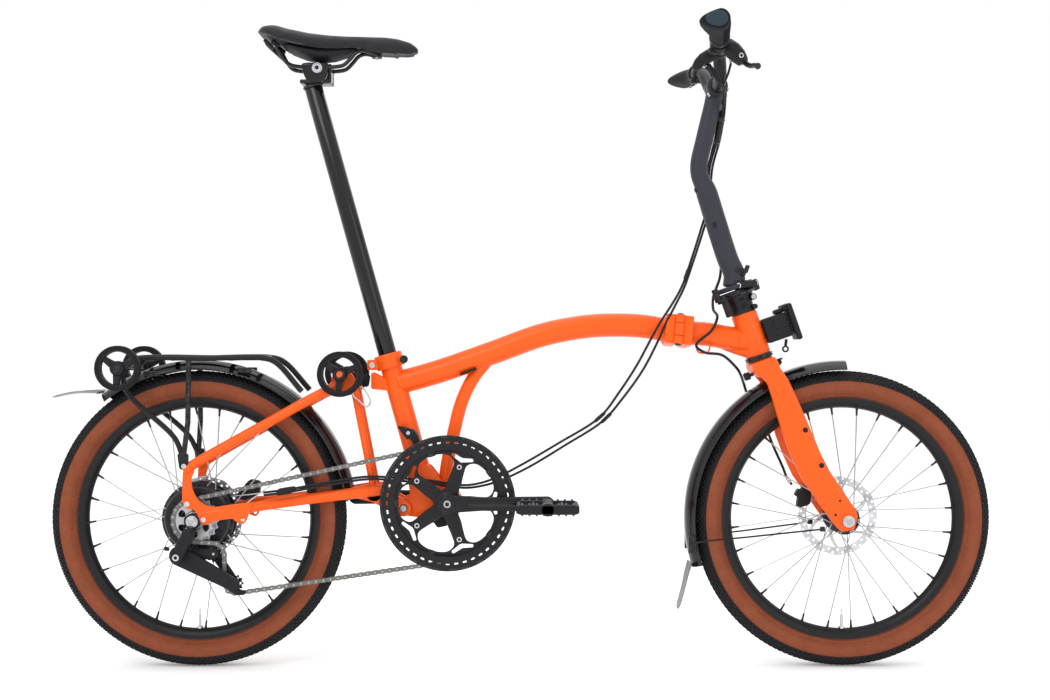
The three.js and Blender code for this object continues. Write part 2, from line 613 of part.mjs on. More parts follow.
function handlepost() {
  const flange = turnedBox(stemAt(0, 0, 5), stemAxes, [60, 44, 9]);
  const ear = turnedBox(stemAt(33, 0, 4.5), stemAxes, [16, 21.6, 9]);
  const eye = alongStemPin(-10.8, 10.8, 7);
  const clear = [-17, 17].map((pin) => alongStemPin(pin - 6, pin + 6, 8.6));
  const post = tube([stemAt(0, 0, 4), at(362, 0, 707), at(340, 0, 775), at(321, 0, 834)], 17.5, 4);
  const bend = [[323, 828], [313, 850], [311, 873], [321, 920], [334, 974], [338, 994]];
  const upper = tube(bend.map(([x, z]) => at(x, 0, z)), 15.5, 7);
  const clamp = across(BAR, -24, 24, 18, 20);
  const pin = alongStemPin(-30, 30, 3.6);
  return cut(join(cut(join(flange, ear), clear), eye, post, upper, clamp), pin, across(BAR, -30, 30, 13));
}
add('handlepost', handlepost(), DARK);

// the clamp plate behind the stem hinge
add('stem_latch', turnedBox(stemAt(-37.5, 0, -12), stemAxes, [8, 34, 50]), BLACK);

// one side of the bar's centre line, as [x, y, z]
const BAR_LINE = [
  [341, 40, 1008], [339, 75, 1018], [333, 112, 1046], [328, 150, 1061], [322, 205, 1064],
  [314, BAR_HALF - 4, 1067],
];
const onSide = (points, side) => points.map(([x, y, z]) => at(x, side * y, z));
function handlebar() {
  const points = [...onSide(BAR_LINE, -1).reverse(), at(BAR[0], 0, BAR[1]), ...onSide(BAR_LINE, 1)];
  return tube(points, 11, 20, 10);
}
add('handlebar', handlebar(), BLACK);

const GRIP_ENDS = [[326.5, 168, 1062.2], [314, BAR_HALF, 1067.1]];
function grip(side) {
  const [a, b] = onSide(GRIP_ENDS, side);
  const sleeve = rod(a, b, 16.5, 20);
  const palm = [[274, 1058], [280, 1052], [312, 1050], [318, 1078], [300, 1078], [280, 1066]];
  const wing = plate(palm, ...span(side, 205, 284));
  const inside = [[328, 150, 1061], [322, 205, 1064], [314, BAR_HALF - 3, 1067]];
  return cut(join(sleeve, wing), tube(onSide(inside, side), 12.2, 6, 12));
}
add('right_grip', grip(-1), RUBBER);
add('left_grip', grip(1), RUBBER);

const LEVER_PIVOT = [364, 1036];
function leverBody(side) {
  const band = plate(link([330, 1054], 17, LEVER_PIVOT, 10), ...span(side, 132, 158));
  const shifter = plate(link([330, 1052], 17, [296, 1030], 14), ...span(side, 118, 131.6));
  const slot = plate(link(LEVER_PIVOT, 11, [392, 1030], 12), ...span(side, 135, 160));
  const whole = side < 0 ? join(band, shifter, across([330, 1052], side * 138, side * 120, 15)) : band;
  const bar = tube(onSide(BAR_LINE.slice(1, 5), side), 12.4, 8, 12);
  return cut(whole, slot, bar);
}
add('right_lever_body', leverBody(-1), BLACK);
add('left_lever_body', leverBody(1), BLACK);

function brakeLever(side) {
  const [p, q] = LEVER_PIVOT;
  const root = across([p, q], side * 139.6, side * 150.4, 8);
  const blade = rod(at(p + 6, side * 145, q - 4), at(382, side * 246, 1014), 5.2, 10);
  return join(root, blade);
}
add('right_brake_lever', brakeLever(-1), DARK);
add('left_brake_lever', brakeLever(1), DARK);

// ---------------------------------------------------------------- seat
const postTop = onSeat(-POST_OUT);
function seatpost() {
  const post = rod(postTop, onSeat(POST_INSERT), POST_R, 16);
  return join(post, rod(postTop, onSeat(-POST_OUT - 8), 13));
}
add('seatpost', seatpost(), GLOSS_BLACK);

function saddle() {
  const side = plate([
    [-458, 1098], [-452, 1109], [-430, 1112], [-395, 1104], [-330, 1094], [-250, 1094], [-190, 1095],
    [-177, 1088], [-176, 1074], [-188, 1062], [-240, 1062], [-290, 1070], [-348, 1067], [-407, 1078],
    [-445, 1092],
  ].reverse(), -100, 100);
  const half = [
    [-458, 40], [-442, 66], [-412, 75], [-372, 65], [-322, 42], [-272, 27], [-222, 22], [-186, 17],
    [-176, 8],
  ];
  const plan = polygon([...half, ...half.map(([x, y]) => [x, -y]).reverse()]);
  const geometry = new THREE.ExtrudeGeometry(plan, { depth: 100, bevelEnabled: false });
  geometry.translate(0, 0, 1040);
  return side.intersect(solid(geometry));
}
add('saddle', saddle(), BLACK);

const RAIL = [
  [-436, 40, 1074], [-420, 34, 1058], [-395, 24, 1040.5], [-350, 22, 1040], [-308, 22, 1041],
  [-270, 18, 1054], [-246, 12, 1058],
];
function saddleRails() {
  const sides = [-1, 1].map((side) => tube(onSide(RAIL, side), 3.6, 9, 6));
  return join(sides, rod(at(-250, -16, 1057.5), at(-250, 16, 1057.5), 4, 10));
}
add('saddle_rails', saddleRails(), STEEL);

function saddleClamp() {
  const outline = [[-382, 1022], [-376, 1014], [-342, 1012], [-332, 1022], [-332, 1048], [-382, 1048]];
  const grooves = [-1, 1].map((side) => tube(onSide(RAIL.slice(1, 6), side), 4.6, 8, 6));
  const post = rod(onSeat(-POST_OUT - 8.6), onSeat(-POST_OUT + 30), 16.2, 16);
  return cut(plate(outline, -29, 29), grooves, post);
}
add('saddle_clamp', saddleClamp(), BLACK);
add('chain', chain(), STEEL);

// ---------------------------------------------------------------- cables, held along their whole route
const CABLE_ROUTE = [
  [345, -70, 1000], [351, -40, 985], [353, -6, 962], [348, 24, 920], [335, 26, 870], [330, 27, 800],
  [318, 27, 757], [300, 12, 705], [282, -14, 660], [262, -33, 625], [246, -35, 598], [232, -34, 570],
  [206, -28, 520], [174, -20, 472], [140, -12, 430], [72, -4, 386], [0, -6, 344], [-50, -18, 322],
  [-92, -28, 314], [-130, -33, 318], [-152, -36, 322], [-200, -38, 326], [-262, -45, 330],
  [-330, -54, 321], [-400, -60, 309], [-440, -62, 304],
];
const HOSE_ROUTE = [
  [352, 116, 1034], [356, 70, 1012], [352, 40, 960], [338, 37, 900], [328, 38, 850], [334, 38, 790],
  [352, 34, 720], [352, 33, 680], [340, 31, 645], [338, 18, 622], [342, -10, 608], [330, -28, 584],
  [303, -30, 558], [318, -25, 546], [350, -14, 541], [376, -4, 519], [386, 14, 506], [394, 38, 492],
  [404, 50, 468], [430, 60, 430], [450, 63, 380], [467, 62, 342], [474, 54, 322], [481, 47, 311],
];
add('control_cables', tube(onSide(CABLE_ROUTE, 1), 4.5, 34), CABLE);
add('front_brake_hose', tube(onSide(HOSE_ROUTE, 1), 2.5, 26), CABLE);

export default bicycle;
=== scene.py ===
"""A folding bicycle with 20-inch wheels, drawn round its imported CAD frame. Shapes are in millimetres in the
frame's own axes (+X forward, +Y to the rider's left, +Z up) and become metres as each piece is made."""
import json
import math
import bpy
import bmesh
import numpy as np
from mathutils import Matrix, Vector


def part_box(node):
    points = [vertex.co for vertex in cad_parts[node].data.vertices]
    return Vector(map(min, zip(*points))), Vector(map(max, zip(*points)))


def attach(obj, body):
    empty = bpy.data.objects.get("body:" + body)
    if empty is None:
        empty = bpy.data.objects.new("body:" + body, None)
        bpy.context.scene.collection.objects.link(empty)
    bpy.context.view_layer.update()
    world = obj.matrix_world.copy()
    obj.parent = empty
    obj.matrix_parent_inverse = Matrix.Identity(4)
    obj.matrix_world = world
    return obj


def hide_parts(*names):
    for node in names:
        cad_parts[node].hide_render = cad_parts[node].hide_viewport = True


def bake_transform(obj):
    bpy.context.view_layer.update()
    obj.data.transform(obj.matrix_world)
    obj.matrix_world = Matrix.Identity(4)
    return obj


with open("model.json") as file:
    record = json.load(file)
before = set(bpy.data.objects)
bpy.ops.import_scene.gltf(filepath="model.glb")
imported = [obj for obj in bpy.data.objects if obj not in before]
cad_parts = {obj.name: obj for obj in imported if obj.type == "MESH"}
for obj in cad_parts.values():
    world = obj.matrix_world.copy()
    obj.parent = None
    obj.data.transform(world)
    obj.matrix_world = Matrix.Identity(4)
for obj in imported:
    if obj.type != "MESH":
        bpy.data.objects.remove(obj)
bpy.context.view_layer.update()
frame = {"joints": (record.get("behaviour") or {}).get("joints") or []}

MM = 0.001


def middle(node):
    """The centre of a CAD node's box, in millimetres."""
    low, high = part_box(node)
    return (low + high) / 2 / MM


def side_place(node):
    """The x and z of a CAD node's centre."""
    centre = middle(node)
    return centre.x, centre.z


def radius_of(node):
    """Half the height of a round CAD node."""
    low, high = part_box(node)
    return (high.z - low.z) / 2 / MM


REAR_HUB = side_place("rear_axle")
FRONT_HUB = side_place("front_axle")
BB = side_place("bottom_bracket")
PIVOT = side_place("pivot_pin")
UPPER_PULLEY = side_place("upper_pulley")
LOWER_PULLEY = side_place("lower_pulley")
TYRE_R = radius_of("rear_tyre")
ROTOR_R = radius_of("rear_rotor")
REAR_ROTOR_Y = middle("rear_rotor").y
FRONT_ROTOR_Y = middle("front_rotor").y
CHAIN_Y = middle("chain").y
GUARD_R = radius_of("chainring")


def joint_way(name):
    """The direction of a joint's axis, as a unit vector."""
    return Vector(next(j for j in frame["joints"] if j["name"] == name)["axis"]).normalized()


# ---------------------------------------------------------------- studio
CAMERA_DISTANCE = 2.8
SENSOR = 36.0
VIEW_WIDTH = 1.8354                     # metres seen across the picture in the bicycle's middle plane
CAMERA_X = 0.007
CAMERA_HEIGHT = 0.55
LIGHTS_AIM = (0, 0, 0.5)


def studio():
    """The camera, four square lights and a white world."""
    camera = bpy.data.objects.new("camera", bpy.data.cameras.new("camera"))
    camera.data.sensor_width = SENSOR
    camera.data.lens = SENSOR * CAMERA_DISTANCE / VIEW_WIDTH
    camera.location = (CAMERA_X, -CAMERA_DISTANCE, CAMERA_HEIGHT)
    camera.rotation_euler = (math.pi / 2, 0, 0)
    bpy.context.scene.collection.objects.link(camera)
    bpy.context.scene.camera = camera
    bpy.context.scene.view_settings.view_transform = "Standard"
    for name, place, size, power in [
        ("key_light", (-1.6, -2.6, 3.2), 2.0, 42),
        ("fill_light", (2.4, -2.8, 1.6), 2.0, 12),
        ("top_light", (0.2, 0.3, 3.4), 2.6, 22),
        ("back_light", (0.8, 3.2, 2.2), 2.4, 16),
    ]:
        data = bpy.data.lights.new(name, "AREA")
        data.shape = "SQUARE"
        data.size = size
        data.energy = power
        light = bpy.data.objects.new(name, data)
        light.location = place
        aim = Vector(LIGHTS_AIM) - Vector(place)
        light.rotation_euler = aim.to_track_quat("-Z", "Y").to_euler()
        bpy.context.scene.collection.objects.link(light)
    world = bpy.data.worlds.new("studio")
    world.use_nodes = True
    world.node_tree.nodes["Background"].inputs["Color"].default_value = (1, 1, 1, 1)
    world.node_tree.nodes["Background"].inputs["Strength"].default_value = 1.0
    bpy.context.scene.world = world


studio()


# ---------------------------------------------------------------- materials
def linear(hex_colour):
    """The linear colour of an sRGB hex number."""
    parts = [(hex_colour >> shift & 255) / 255 for shift in (16, 8, 0)]
    return tuple(p / 12.92 if p <= 0.04045 else ((p + 0.055) / 1.055) ** 2.4 for p in parts) + (1.0,)


def scaled(colour, factor):
    return tuple(min(1.0, c * factor) for c in colour[:3]) + (1.0,)


MOTTLE_SCALE = 35                       # patches of uneven colour to a metre
WEAR = (0.5, 0.5, 0.5, 1)               # how much of the bare metal shows on the sharpest edges


def material(name, colour, rough, metal=0.0, coat=0.0, mottle=0.06, grain=0.12, grain_scale=900, wear=None,
             sheen=0.0, rough_spread=0.08, dust=None, shine=0.5):
    """A painted, moulded or metal surface: mottled colour, grain in the bump, uneven roughness and, where
    they are given, worn edges and dust."""
    made = bpy.data.materials.new(name)
    made.use_nodes = True
    nodes, links = made.node_tree.nodes, made.node_tree.links
    shader = nodes["Principled BSDF"]
    shader.inputs["Metallic"].default_value = metal
    shader.inputs["Specular IOR Level"].default_value = shine
    shader.inputs["Coat Weight"].default_value = coat
    shader.inputs["Coat Roughness"].default_value = 0.08
    shader.inputs["Sheen Weight"].default_value = sheen
    place = nodes.new("ShaderNodeTexCoord").outputs["Object"]

    def noise(scale, detail=3.0):
        node = nodes.new("ShaderNodeTexNoise")
        node.inputs["Scale"].default_value = scale
        node.inputs["Detail"].default_value = detail
        links.new(place, node.inputs["Vector"])
        return node.outputs["Fac"]

    def ramp(source, stops):
        node = nodes.new("ShaderNodeValToRGB")
        node.color_ramp.elements[0].position, node.color_ramp.elements[0].color = stops[0]
        node.color_ramp.elements[1].position, node.color_ramp.elements[1].color = stops[1]
        links.new(source, node.inputs["Fac"])
        return node.outputs["Color"]

    def mixed(amount, first, second):
        node = nodes.new("ShaderNodeMix")
        node.data_type = "RGBA"
        links.new(amount, node.inputs["Factor"])
        links.new(first, node.inputs["A"])
        if isinstance(second, tuple):
            node.inputs["B"].default_value = second
        else:
            links.new(second, node.inputs["B"])
        return node.outputs["Result"]

    base = linear(colour)
    tint = ramp(noise(MOTTLE_SCALE), [(0.3, scaled(base, 1 - mottle)), (0.7, scaled(base, 1 + mottle))])
    if dust is not None:
        speck = ramp(noise(MOTTLE_SCALE * 5, 6.0), [(0.52, (0, 0, 0, 1)), (0.75, (0.5, 0.5, 0.5, 1))])
        tint = mixed(speck, tint, linear(dust))
    if wear is not None:
        edge = ramp(nodes.new("ShaderNodeNewGeometry").outputs["Pointiness"],
                    [(0.53, (0, 0, 0, 1)), (0.62, WEAR)])
        broken = ramp(noise(160, 5.0), [(0.42, (0, 0, 0, 1)), (0.62, (1, 1, 1, 1))])
        worn = nodes.new("ShaderNodeMath")
        worn.operation = "MULTIPLY"
        links.new(edge, worn.inputs[0])
        links.new(broken, worn.inputs[1])
        tint = mixed(worn.outputs[0], tint, linear(wear))
    links.new(tint, shader.inputs["Base Color"])
    spread = nodes.new("ShaderNodeMapRange")
    spread.inputs["To Min"].default_value = max(0.02, rough - rough_spread)
    spread.inputs["To Max"].default_value = min(1.0, rough + rough_spread)
    links.new(noise(MOTTLE_SCALE * 3, 4.0), spread.inputs["Value"])
    links.new(spread.outputs["Result"], shader.inputs["Roughness"])
    bump = nodes.new("ShaderNodeBump")
    bump.inputs["Strength"].default_value = grain
    bump.inputs["Distance"].default_value = 0.0004
    links.new(noise(grain_scale, 2.0), bump.inputs["Height"])
    links.new(bump.outputs["Normal"], shader.inputs["Normal"])
    return made


ORANGE = material("frame_paint", 0xF05804, 0.36, coat=0.1, shine=0.25, mottle=0.03, grain=0.05,
                  grain_scale=1500)
BLACK = material("black_alloy", 0x0E0E13, 0.42, metal=0.1, shine=0.34, wear=0x5A5A5E, grain=0.10)
POST = material("dark_post", 0x2E2E38, 0.5, metal=0.25, shine=0.4, grain=0.16, grain_scale=1600)
GLOSS = material("gloss_black", 0x08080C, 0.18, coat=0.15, shine=0.35, mottle=0.1, grain=0.02,
                 rough_spread=0.05)
PLASTIC = material("black_plastic", 0x121217, 0.55, shine=0.28, grain=0.35, grain_scale=1100, dust=0x202022)
SMOKE = material("smoke_plastic", 0x6C6F73, 0.4, grain=0.1, mottle=0.12)
RUBBER = material("black_rubber", 0x131317, 0.78, shine=0.25, grain=0.5, grain_scale=700, dust=0x1E1E24)
TREAD = material("tyre_tread", 0x1F1F22, 0.85, shine=0.25, grain=0.7, grain_scale=600, mottle=0.15,
                 dust=0x343436)
TAN = material("tyre_sidewall", 0x84452D, 0.74, shine=0.2, grain=0.4, grain_scale=1300, mottle=0.09,
               dust=0x6C3A27)
RIM = material("rim_black", 0x0D0D11, 0.4, metal=0.15, shine=0.34, grain=0.08, wear=0x4A4A4E)
STEEL = material("bright_steel", 0xC4C6CA, 0.27, metal=1.0, grain=0.10, mottle=0.1, wear=0xE4E4E8)
BRUSHED = material("brushed_steel", 0xB0B1B4, 0.36, metal=1.0, grain=0.3, grain_scale=500, mottle=0.08)
CHAIN = material("chain_steel", 0x74736F, 0.42, metal=0.8, grain=0.2, mottle=0.2, dust=0x5E5E60)
GREY = material("grey_fitting", 0x6F7276, 0.45, metal=0.6, grain=0.15)
COVER = material("saddle_cover", 0x0F0F15, 0.56, shine=0.32, grain=0.55, grain_scale=1500, sheen=0.06,
                 dust=0x17171E)
HOUSING = material("cable_housing", 0x141418, 0.5, shine=0.3, grain=0.2, mottle=0.1)
CAP = material("end_cap", 0x1C303B, 0.4, shine=0.35, grain=0.15)


# ---------------------------------------------------------------- geometry, in millimetres
def merged(*parts):
    """Several (points, faces) pairs as one."""
    points, faces, count = [], [], 0
    for part_points, part_faces in parts:
        points.append(np.asarray(part_points, float))
        faces += [tuple(i + count for i in face) for face in part_faces]
        count += len(part_points)
    return np.vstack(points), faces


def moved(part, matrix):
    turn = np.array(matrix.to_3x3())
    return np.asarray(part[0], float) @ turn.T + np.array(matrix.translation), part[1]


def mirrored(part):
    return np.asarray(part[0], float) * (1, -1, 1), [face[::-1] for face in part[1]]


def both(part):
    """A part and its mirror image on the other side of the bicycle."""
    return merged(part, mirrored(part))


def xz(points):
    """Points (x, z) as places in the bicycle's middle plane."""
    return [(x, 0, z) for x, z in points]


def at_y(place, y):
    """The point at y on the line across the bicycle through (x, z)."""
    return place[0], y, place[1]


def polar(centre, r, angle):
    """The (x, z) at a distance and an angle from centre."""
    return centre[0] + r * math.cos(angle), centre[1] + r * math.sin(angle)


def turns(count):
    """That many angles, equally spaced round a circle."""
    return np.arange(count) * 2 * math.pi / count


def leaning(x, z):
    """The axes of a block whose own X points along (x, z)."""
    return (x, 0, z), (0, 1, 0), (-z, 0, x)


def grid(rows, around, loop=False):
    """Faces over rows of points, each row a ring of that many points: a loop, or closed at both ends."""
    faces = []
    for row in range(rows if loop else rows - 1):
        a, b = row * around, (row + 1) % rows * around
        for i in range(around):
            j = (i + 1) % around
            faces.append((a + i, a + j, b + j, b + i))
    if not loop:
        faces += [tuple(range(around))[::-1], tuple((rows - 1) * around + i for i in range(around))]
    return faces


def smooth_path(points, per_span=8):
    """A centripetal Catmull-Rom curve through the points."""
    p = [np.array(q, float) for q in points]
    p = [2 * p[0] - p[1], *p, 2 * p[-1] - p[-2]]
    made = []
    for i in range(1, len(p) - 2):
        t = [0.0]
        for k in range(3):
            t.append(t[-1] + max(1e-6, np.linalg.norm(p[i + k] - p[i + k - 1])) ** 0.5)
        for u in np.linspace(t[1], t[2], per_span, endpoint=False):
            a = [(t[k + 1] - u) / (t[k + 1] - t[k]) * p[i - 1 + k]
                 + (u - t[k]) / (t[k + 1] - t[k]) * p[i + k] for k in range(3)]
            b = [(t[k + 2] - u) / (t[k + 2] - t[k]) * a[k]
                 + (u - t[k]) / (t[k + 2] - t[k]) * a[k + 1] for k in range(2)]
            made.append((t[2] - u) / (t[2] - t[1]) * b[0] + (u - t[1]) / (t[2] - t[1]) * b[1])
    return np.array([*made, p[-2]])


def sweep(points, radius, sides=24, per_span=8, chamfer=0.15, wide=1.0):
    """A round bar along a smooth curve. The radius is a number or a function of 0..1; wide stretches the bar
    along Y."""
    path = smooth_path(points, per_span) if per_span else np.array(points, float)
    way = np.gradient(path, axis=0)
    way /= np.linalg.norm(way, axis=1)[:, None]
    side = np.cross(way[0], (0, 1, 0) if abs(way[0][1]) < 0.9 else (1, 0, 0))
    size = radius if callable(radius) else (lambda t: radius)
    rings = []
    last = len(path) - 1
    for i, (place, ahead) in enumerate(zip(path, way)):
        side = side - ahead * side.dot(ahead)
        side /= np.linalg.norm(side)
        up = np.cross(ahead, side)
        r = size(i / last)
        angles = turns(sides)
        ring = np.outer(np.cos(angles), side) * r + np.outer(np.sin(angles), up) * r
        ring[:, 1] *= wide
        if i in (0, last):
            inward = ahead * (1 if i == 0 else -1) * r * chamfer
            pair = [place + ring * (1 - chamfer), place + inward + ring]
            rings += pair if i == 0 else pair[::-1]
        else:
            rings.append(place + ring)
    return np.vstack(rings), grid(len(rings), sides)


def bar(a, b, r, sides=24, chamfer=0.8):
    """A straight round bar with chamfered ends."""
    return spindle(a, b, r, sides, chamfer)


def spindle(a, b, profile, sides=32, chamfer=0.6):
    """A solid of revolution about the line from a to b. The profile is one radius, or (share of the way,
    radius) pairs in order."""
    if not isinstance(profile, list):
        profile = [(0, profile), (1, profile)]
    a, b = Vector(a), Vector(b)
    way = b - a
    length = way.length
    frame_turn = way.to_track_quat("Z", "Y").to_matrix().to_4x4()
    steps = [(t * length, r) for t, r in profile]
    c = min(chamfer, steps[0][1] * 0.4, steps[-1][1] * 0.4, length * 0.2)
    first, last = steps[0], steps[-1]
    steps = [(first[0], first[1] - c), (first[0] + c, first[1]), *steps[1:-1],
             (last[0] - c, last[1]), (last[0], last[1] - c)]
    angles = turns(sides)
    rows = [np.column_stack([np.cos(angles) * r, np.sin(angles) * r, np.full(sides, z)]) for z, r in steps]
    return moved((np.vstack(rows), grid(len(rows), sides)), Matrix.Translation(a) @ frame_turn)


def lathe(centre, profile, segments=96, start=0.0, sweep_degrees=360.0):
    """A closed profile of (radius, y) turned about the Y line through centre."""
    whole = sweep_degrees >= 360
    steps = segments if whole else segments + 1
    angles = math.radians(start) + np.arange(steps) * math.radians(sweep_degrees) / segments
    rows = [np.array([(centre[0] + r * math.cos(a), y, centre[1] + r * math.sin(a)) for r, y in profile])
            for a in angles]
    return np.vstack(rows), grid(steps, len(profile), loop=whole)


def lathe_along(a, b, profile, segments=56):
    """A closed profile of (share of the way, radius) turned about the line from a to b."""
    a, b = Vector(a), Vector(b)
    turn = (b - a).to_track_quat("Z", "Y").to_matrix().to_4x4()
    angles = np.arange(segments) * 2 * math.pi / segments
    rows = [np.array([(r * math.cos(t), r * math.sin(t), z * (b - a).length) for z, r in profile])
            for t in angles]
    return moved((np.vstack(rows), grid(segments, len(profile), loop=True)), Matrix.Translation(a) @ turn)


def circle(centre, r, count=48):
    """Points on a circle, as (x, z)."""
    return [polar(centre, r, a) for a in turns(count)]


def arc(centre, r, start, end, count=12):
    """Points on an arc, in degrees from +X towards +Z."""
    return [polar(centre, r, math.radians(a)) for a in np.linspace(start, end, count)]


def link(a, ra, b, rb, count=14):
    """The outline round two circles and their tangents."""
    along = math.atan2(b[1] - a[1], b[0] - a[0])
    turn = math.acos((ra - rb) / math.dist(a, b))
    d = math.degrees
    round_a = arc(a, ra, d(along + turn), d(along - turn) + 360, count)
    round_b = arc(b, rb, d(along - turn), d(along + turn), count)
    return round_a + round_b


def rounded(points, r=4.0, count=4):
    """A polygon with its corners rounded by about r."""
    made = []
    total = len(points)
    for i, corner in enumerate(points):
        here = np.array(corner, float)
        before = np.array(points[i - 1], float) - here
        after = np.array(points[(i + 1) % total], float) - here
        reach = min(r, np.linalg.norm(before) * 0.45, np.linalg.norm(after) * 0.45)
        a, b = here + before / np.linalg.norm(before) * reach, here + after / np.linalg.norm(after) * reach
        for t in np.linspace(0, 1, count):
            made.append(tuple((1 - t) ** 2 * a + 2 * t * (1 - t) * here + t * t * b))
    return made


def plate(outline, y0, y1, holes=(), bevel=0.8, steps=2):
    """A flat plate in x and z from y0 to y1, with holes and rounded edges."""
    data = bpy.data.curves.new("outline", "CURVE")
    data.dimensions = "2D"
    data.fill_mode = "BOTH"
    data.extrude = abs(y1 - y0) / 2 - bevel
    data.bevel_depth = bevel
    data.bevel_resolution = steps - 1
    data.offset = -bevel
    for ring in [outline, *holes]:
        spline = data.splines.new("POLY")
        spline.points.add(len(ring) - 1)
        spline.use_cyclic_u = True
        for point, (x, z) in zip(spline.points, ring):
            point.co = (x, z, 0, 1)
    holder = bpy.data.objects.new("outline", data)
    bpy.context.scene.collection.objects.link(holder)
    mesh = holder.evaluated_get(bpy.context.evaluated_depsgraph_get()).to_mesh()
    work = bmesh.new()
    work.from_mesh(mesh)
    bmesh.ops.remove_doubles(work, verts=work.verts, dist=1e-3)
    points = np.array([(v.co.x, (y0 + y1) / 2 - v.co.z, v.co.y) for v in work.verts])
    work.verts.index_update()
    faces = [tuple(v.index for v in f.verts) for f in work.faces]
    work.free()
    bpy.data.objects.remove(holder)
    bpy.data.curves.remove(data)
    return points, faces


def block(centre, size, axes=leaning(1, 0), bevel=1.0, segments=2):
    """A box with rounded edges, its X, Y and Z along the three axes."""
    work = bmesh.new()
    bmesh.ops.create_cube(work, size=1)
    bmesh.ops.scale(work, vec=Vector(size), verts=work.verts)
    bmesh.ops.bevel(work, geom=work.edges[:], offset=min(bevel, min(size) * 0.45), segments=segments,
                    affect="EDGES", profile=0.5)
    work.verts.index_update()
    points = np.array([v.co[:] for v in work.verts])
    faces = [tuple(v.index for v in f.verts) for f in work.faces]
    work.free()
    turn = Matrix([Vector(a).normalized() for a in axes]).transposed().to_4x4()
    return moved((points, faces), Matrix.Translation(Vector(centre)) @ turn)


def loft(rings):
    """Closed skin over rings with the same number of points each."""
    return np.vstack([np.asarray(r, float) for r in rings]), grid(len(rings), len(rings[0]))


def bolt(a, b, r, head=3.0):
    """The round head of a bolt, facing from a to b, with a hexagonal socket sunk in it at b."""
    a, b = Vector(a), Vector(b)
    way = (b - a).normalized()
    turn = way.to_track_quat("Z", "Y").to_matrix().to_4x4()
    rows = []
    for z, size, sides in [(-head, r * 0.95, 24), (-0.5, r, 24), (0, r - 0.6, 24), (0, r * 0.52, 6),
                           (-head * 0.7, r * 0.5, 6)]:
        angles = turns(24)
        if sides == 6:
            size = size / np.cos((angles + math.pi / 6) % (math.pi / 3) - math.pi / 6)
        rows.append(np.column_stack([np.cos(angles) * size, np.sin(angles) * size, np.full(24, z)]))
    cap = (np.vstack(rows), grid(5, 24))
    return moved(cap, Matrix.Translation(b) @ turn)


SHARP_EDGE = 38                         # degrees between two faces from which their edge stays sharp


def piece(name, body, slot, *parts, stands_for=None, blend=None):
    """Makes one named mesh, each part being a material and its shapes, and says what it rides on. It stands
    for the CAD node that stands_for names, or the one that its own name gives before "_looks"."""
    points, faces, marks, finishes = [], [], [], []
    count = 0
    for finish, *shapes in parts:
        if finish not in finishes:
            finishes.append(finish)
        for shape_points, shape_faces in shapes:
            points.append(np.asarray(shape_points, float))
            faces += [tuple(i + count for i in face) for face in shape_faces]
            marks += [finishes.index(finish)] * len(shape_faces)
            count += len(shape_points)
    mesh = bpy.data.meshes.new(name)
    mesh.from_pydata((np.vstack(points) * MM).tolist(), [], faces)
    for finish in finishes:
        mesh.materials.append(finish)
    mesh.polygons.foreach_set("material_index", marks)
    work = bmesh.new()
    work.from_mesh(mesh)
    bmesh.ops.recalc_face_normals(work, faces=work.faces)
    work.to_mesh(mesh)
    work.free()
    mesh.polygons.foreach_set("use_smooth", [True] * len(mesh.polygons))
    mesh.set_sharp_from_angle(angle=math.radians(SHARP_EDGE))
    made = bpy.data.objects.new(name, mesh)
    bpy.context.scene.collection.objects.link(made)
    if blend:
        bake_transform(made)
    else:
        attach(made, body)
    if stands_for or name.endswith("_looks"):
        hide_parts(stands_for or name.removesuffix("_looks"))
    return made


# ---------------------------------------------------------------- wheels
RIM_R = 209
TYRE_MIDDLE_R = 231.5                   # radius at which the tyre is widest
TYRE_HALF_WIDE = 26.0
TREAD_EDGE = 20                         # degrees up the tyre's section from its widest place
TREAD_DEPTH = 2.6
KNOBS_AROUND = 168
SPOKES = 28
SPOKE_R = 1.05
SPOKE_TOP_R = 197
ROTOR_HALF_THICK = 0.9


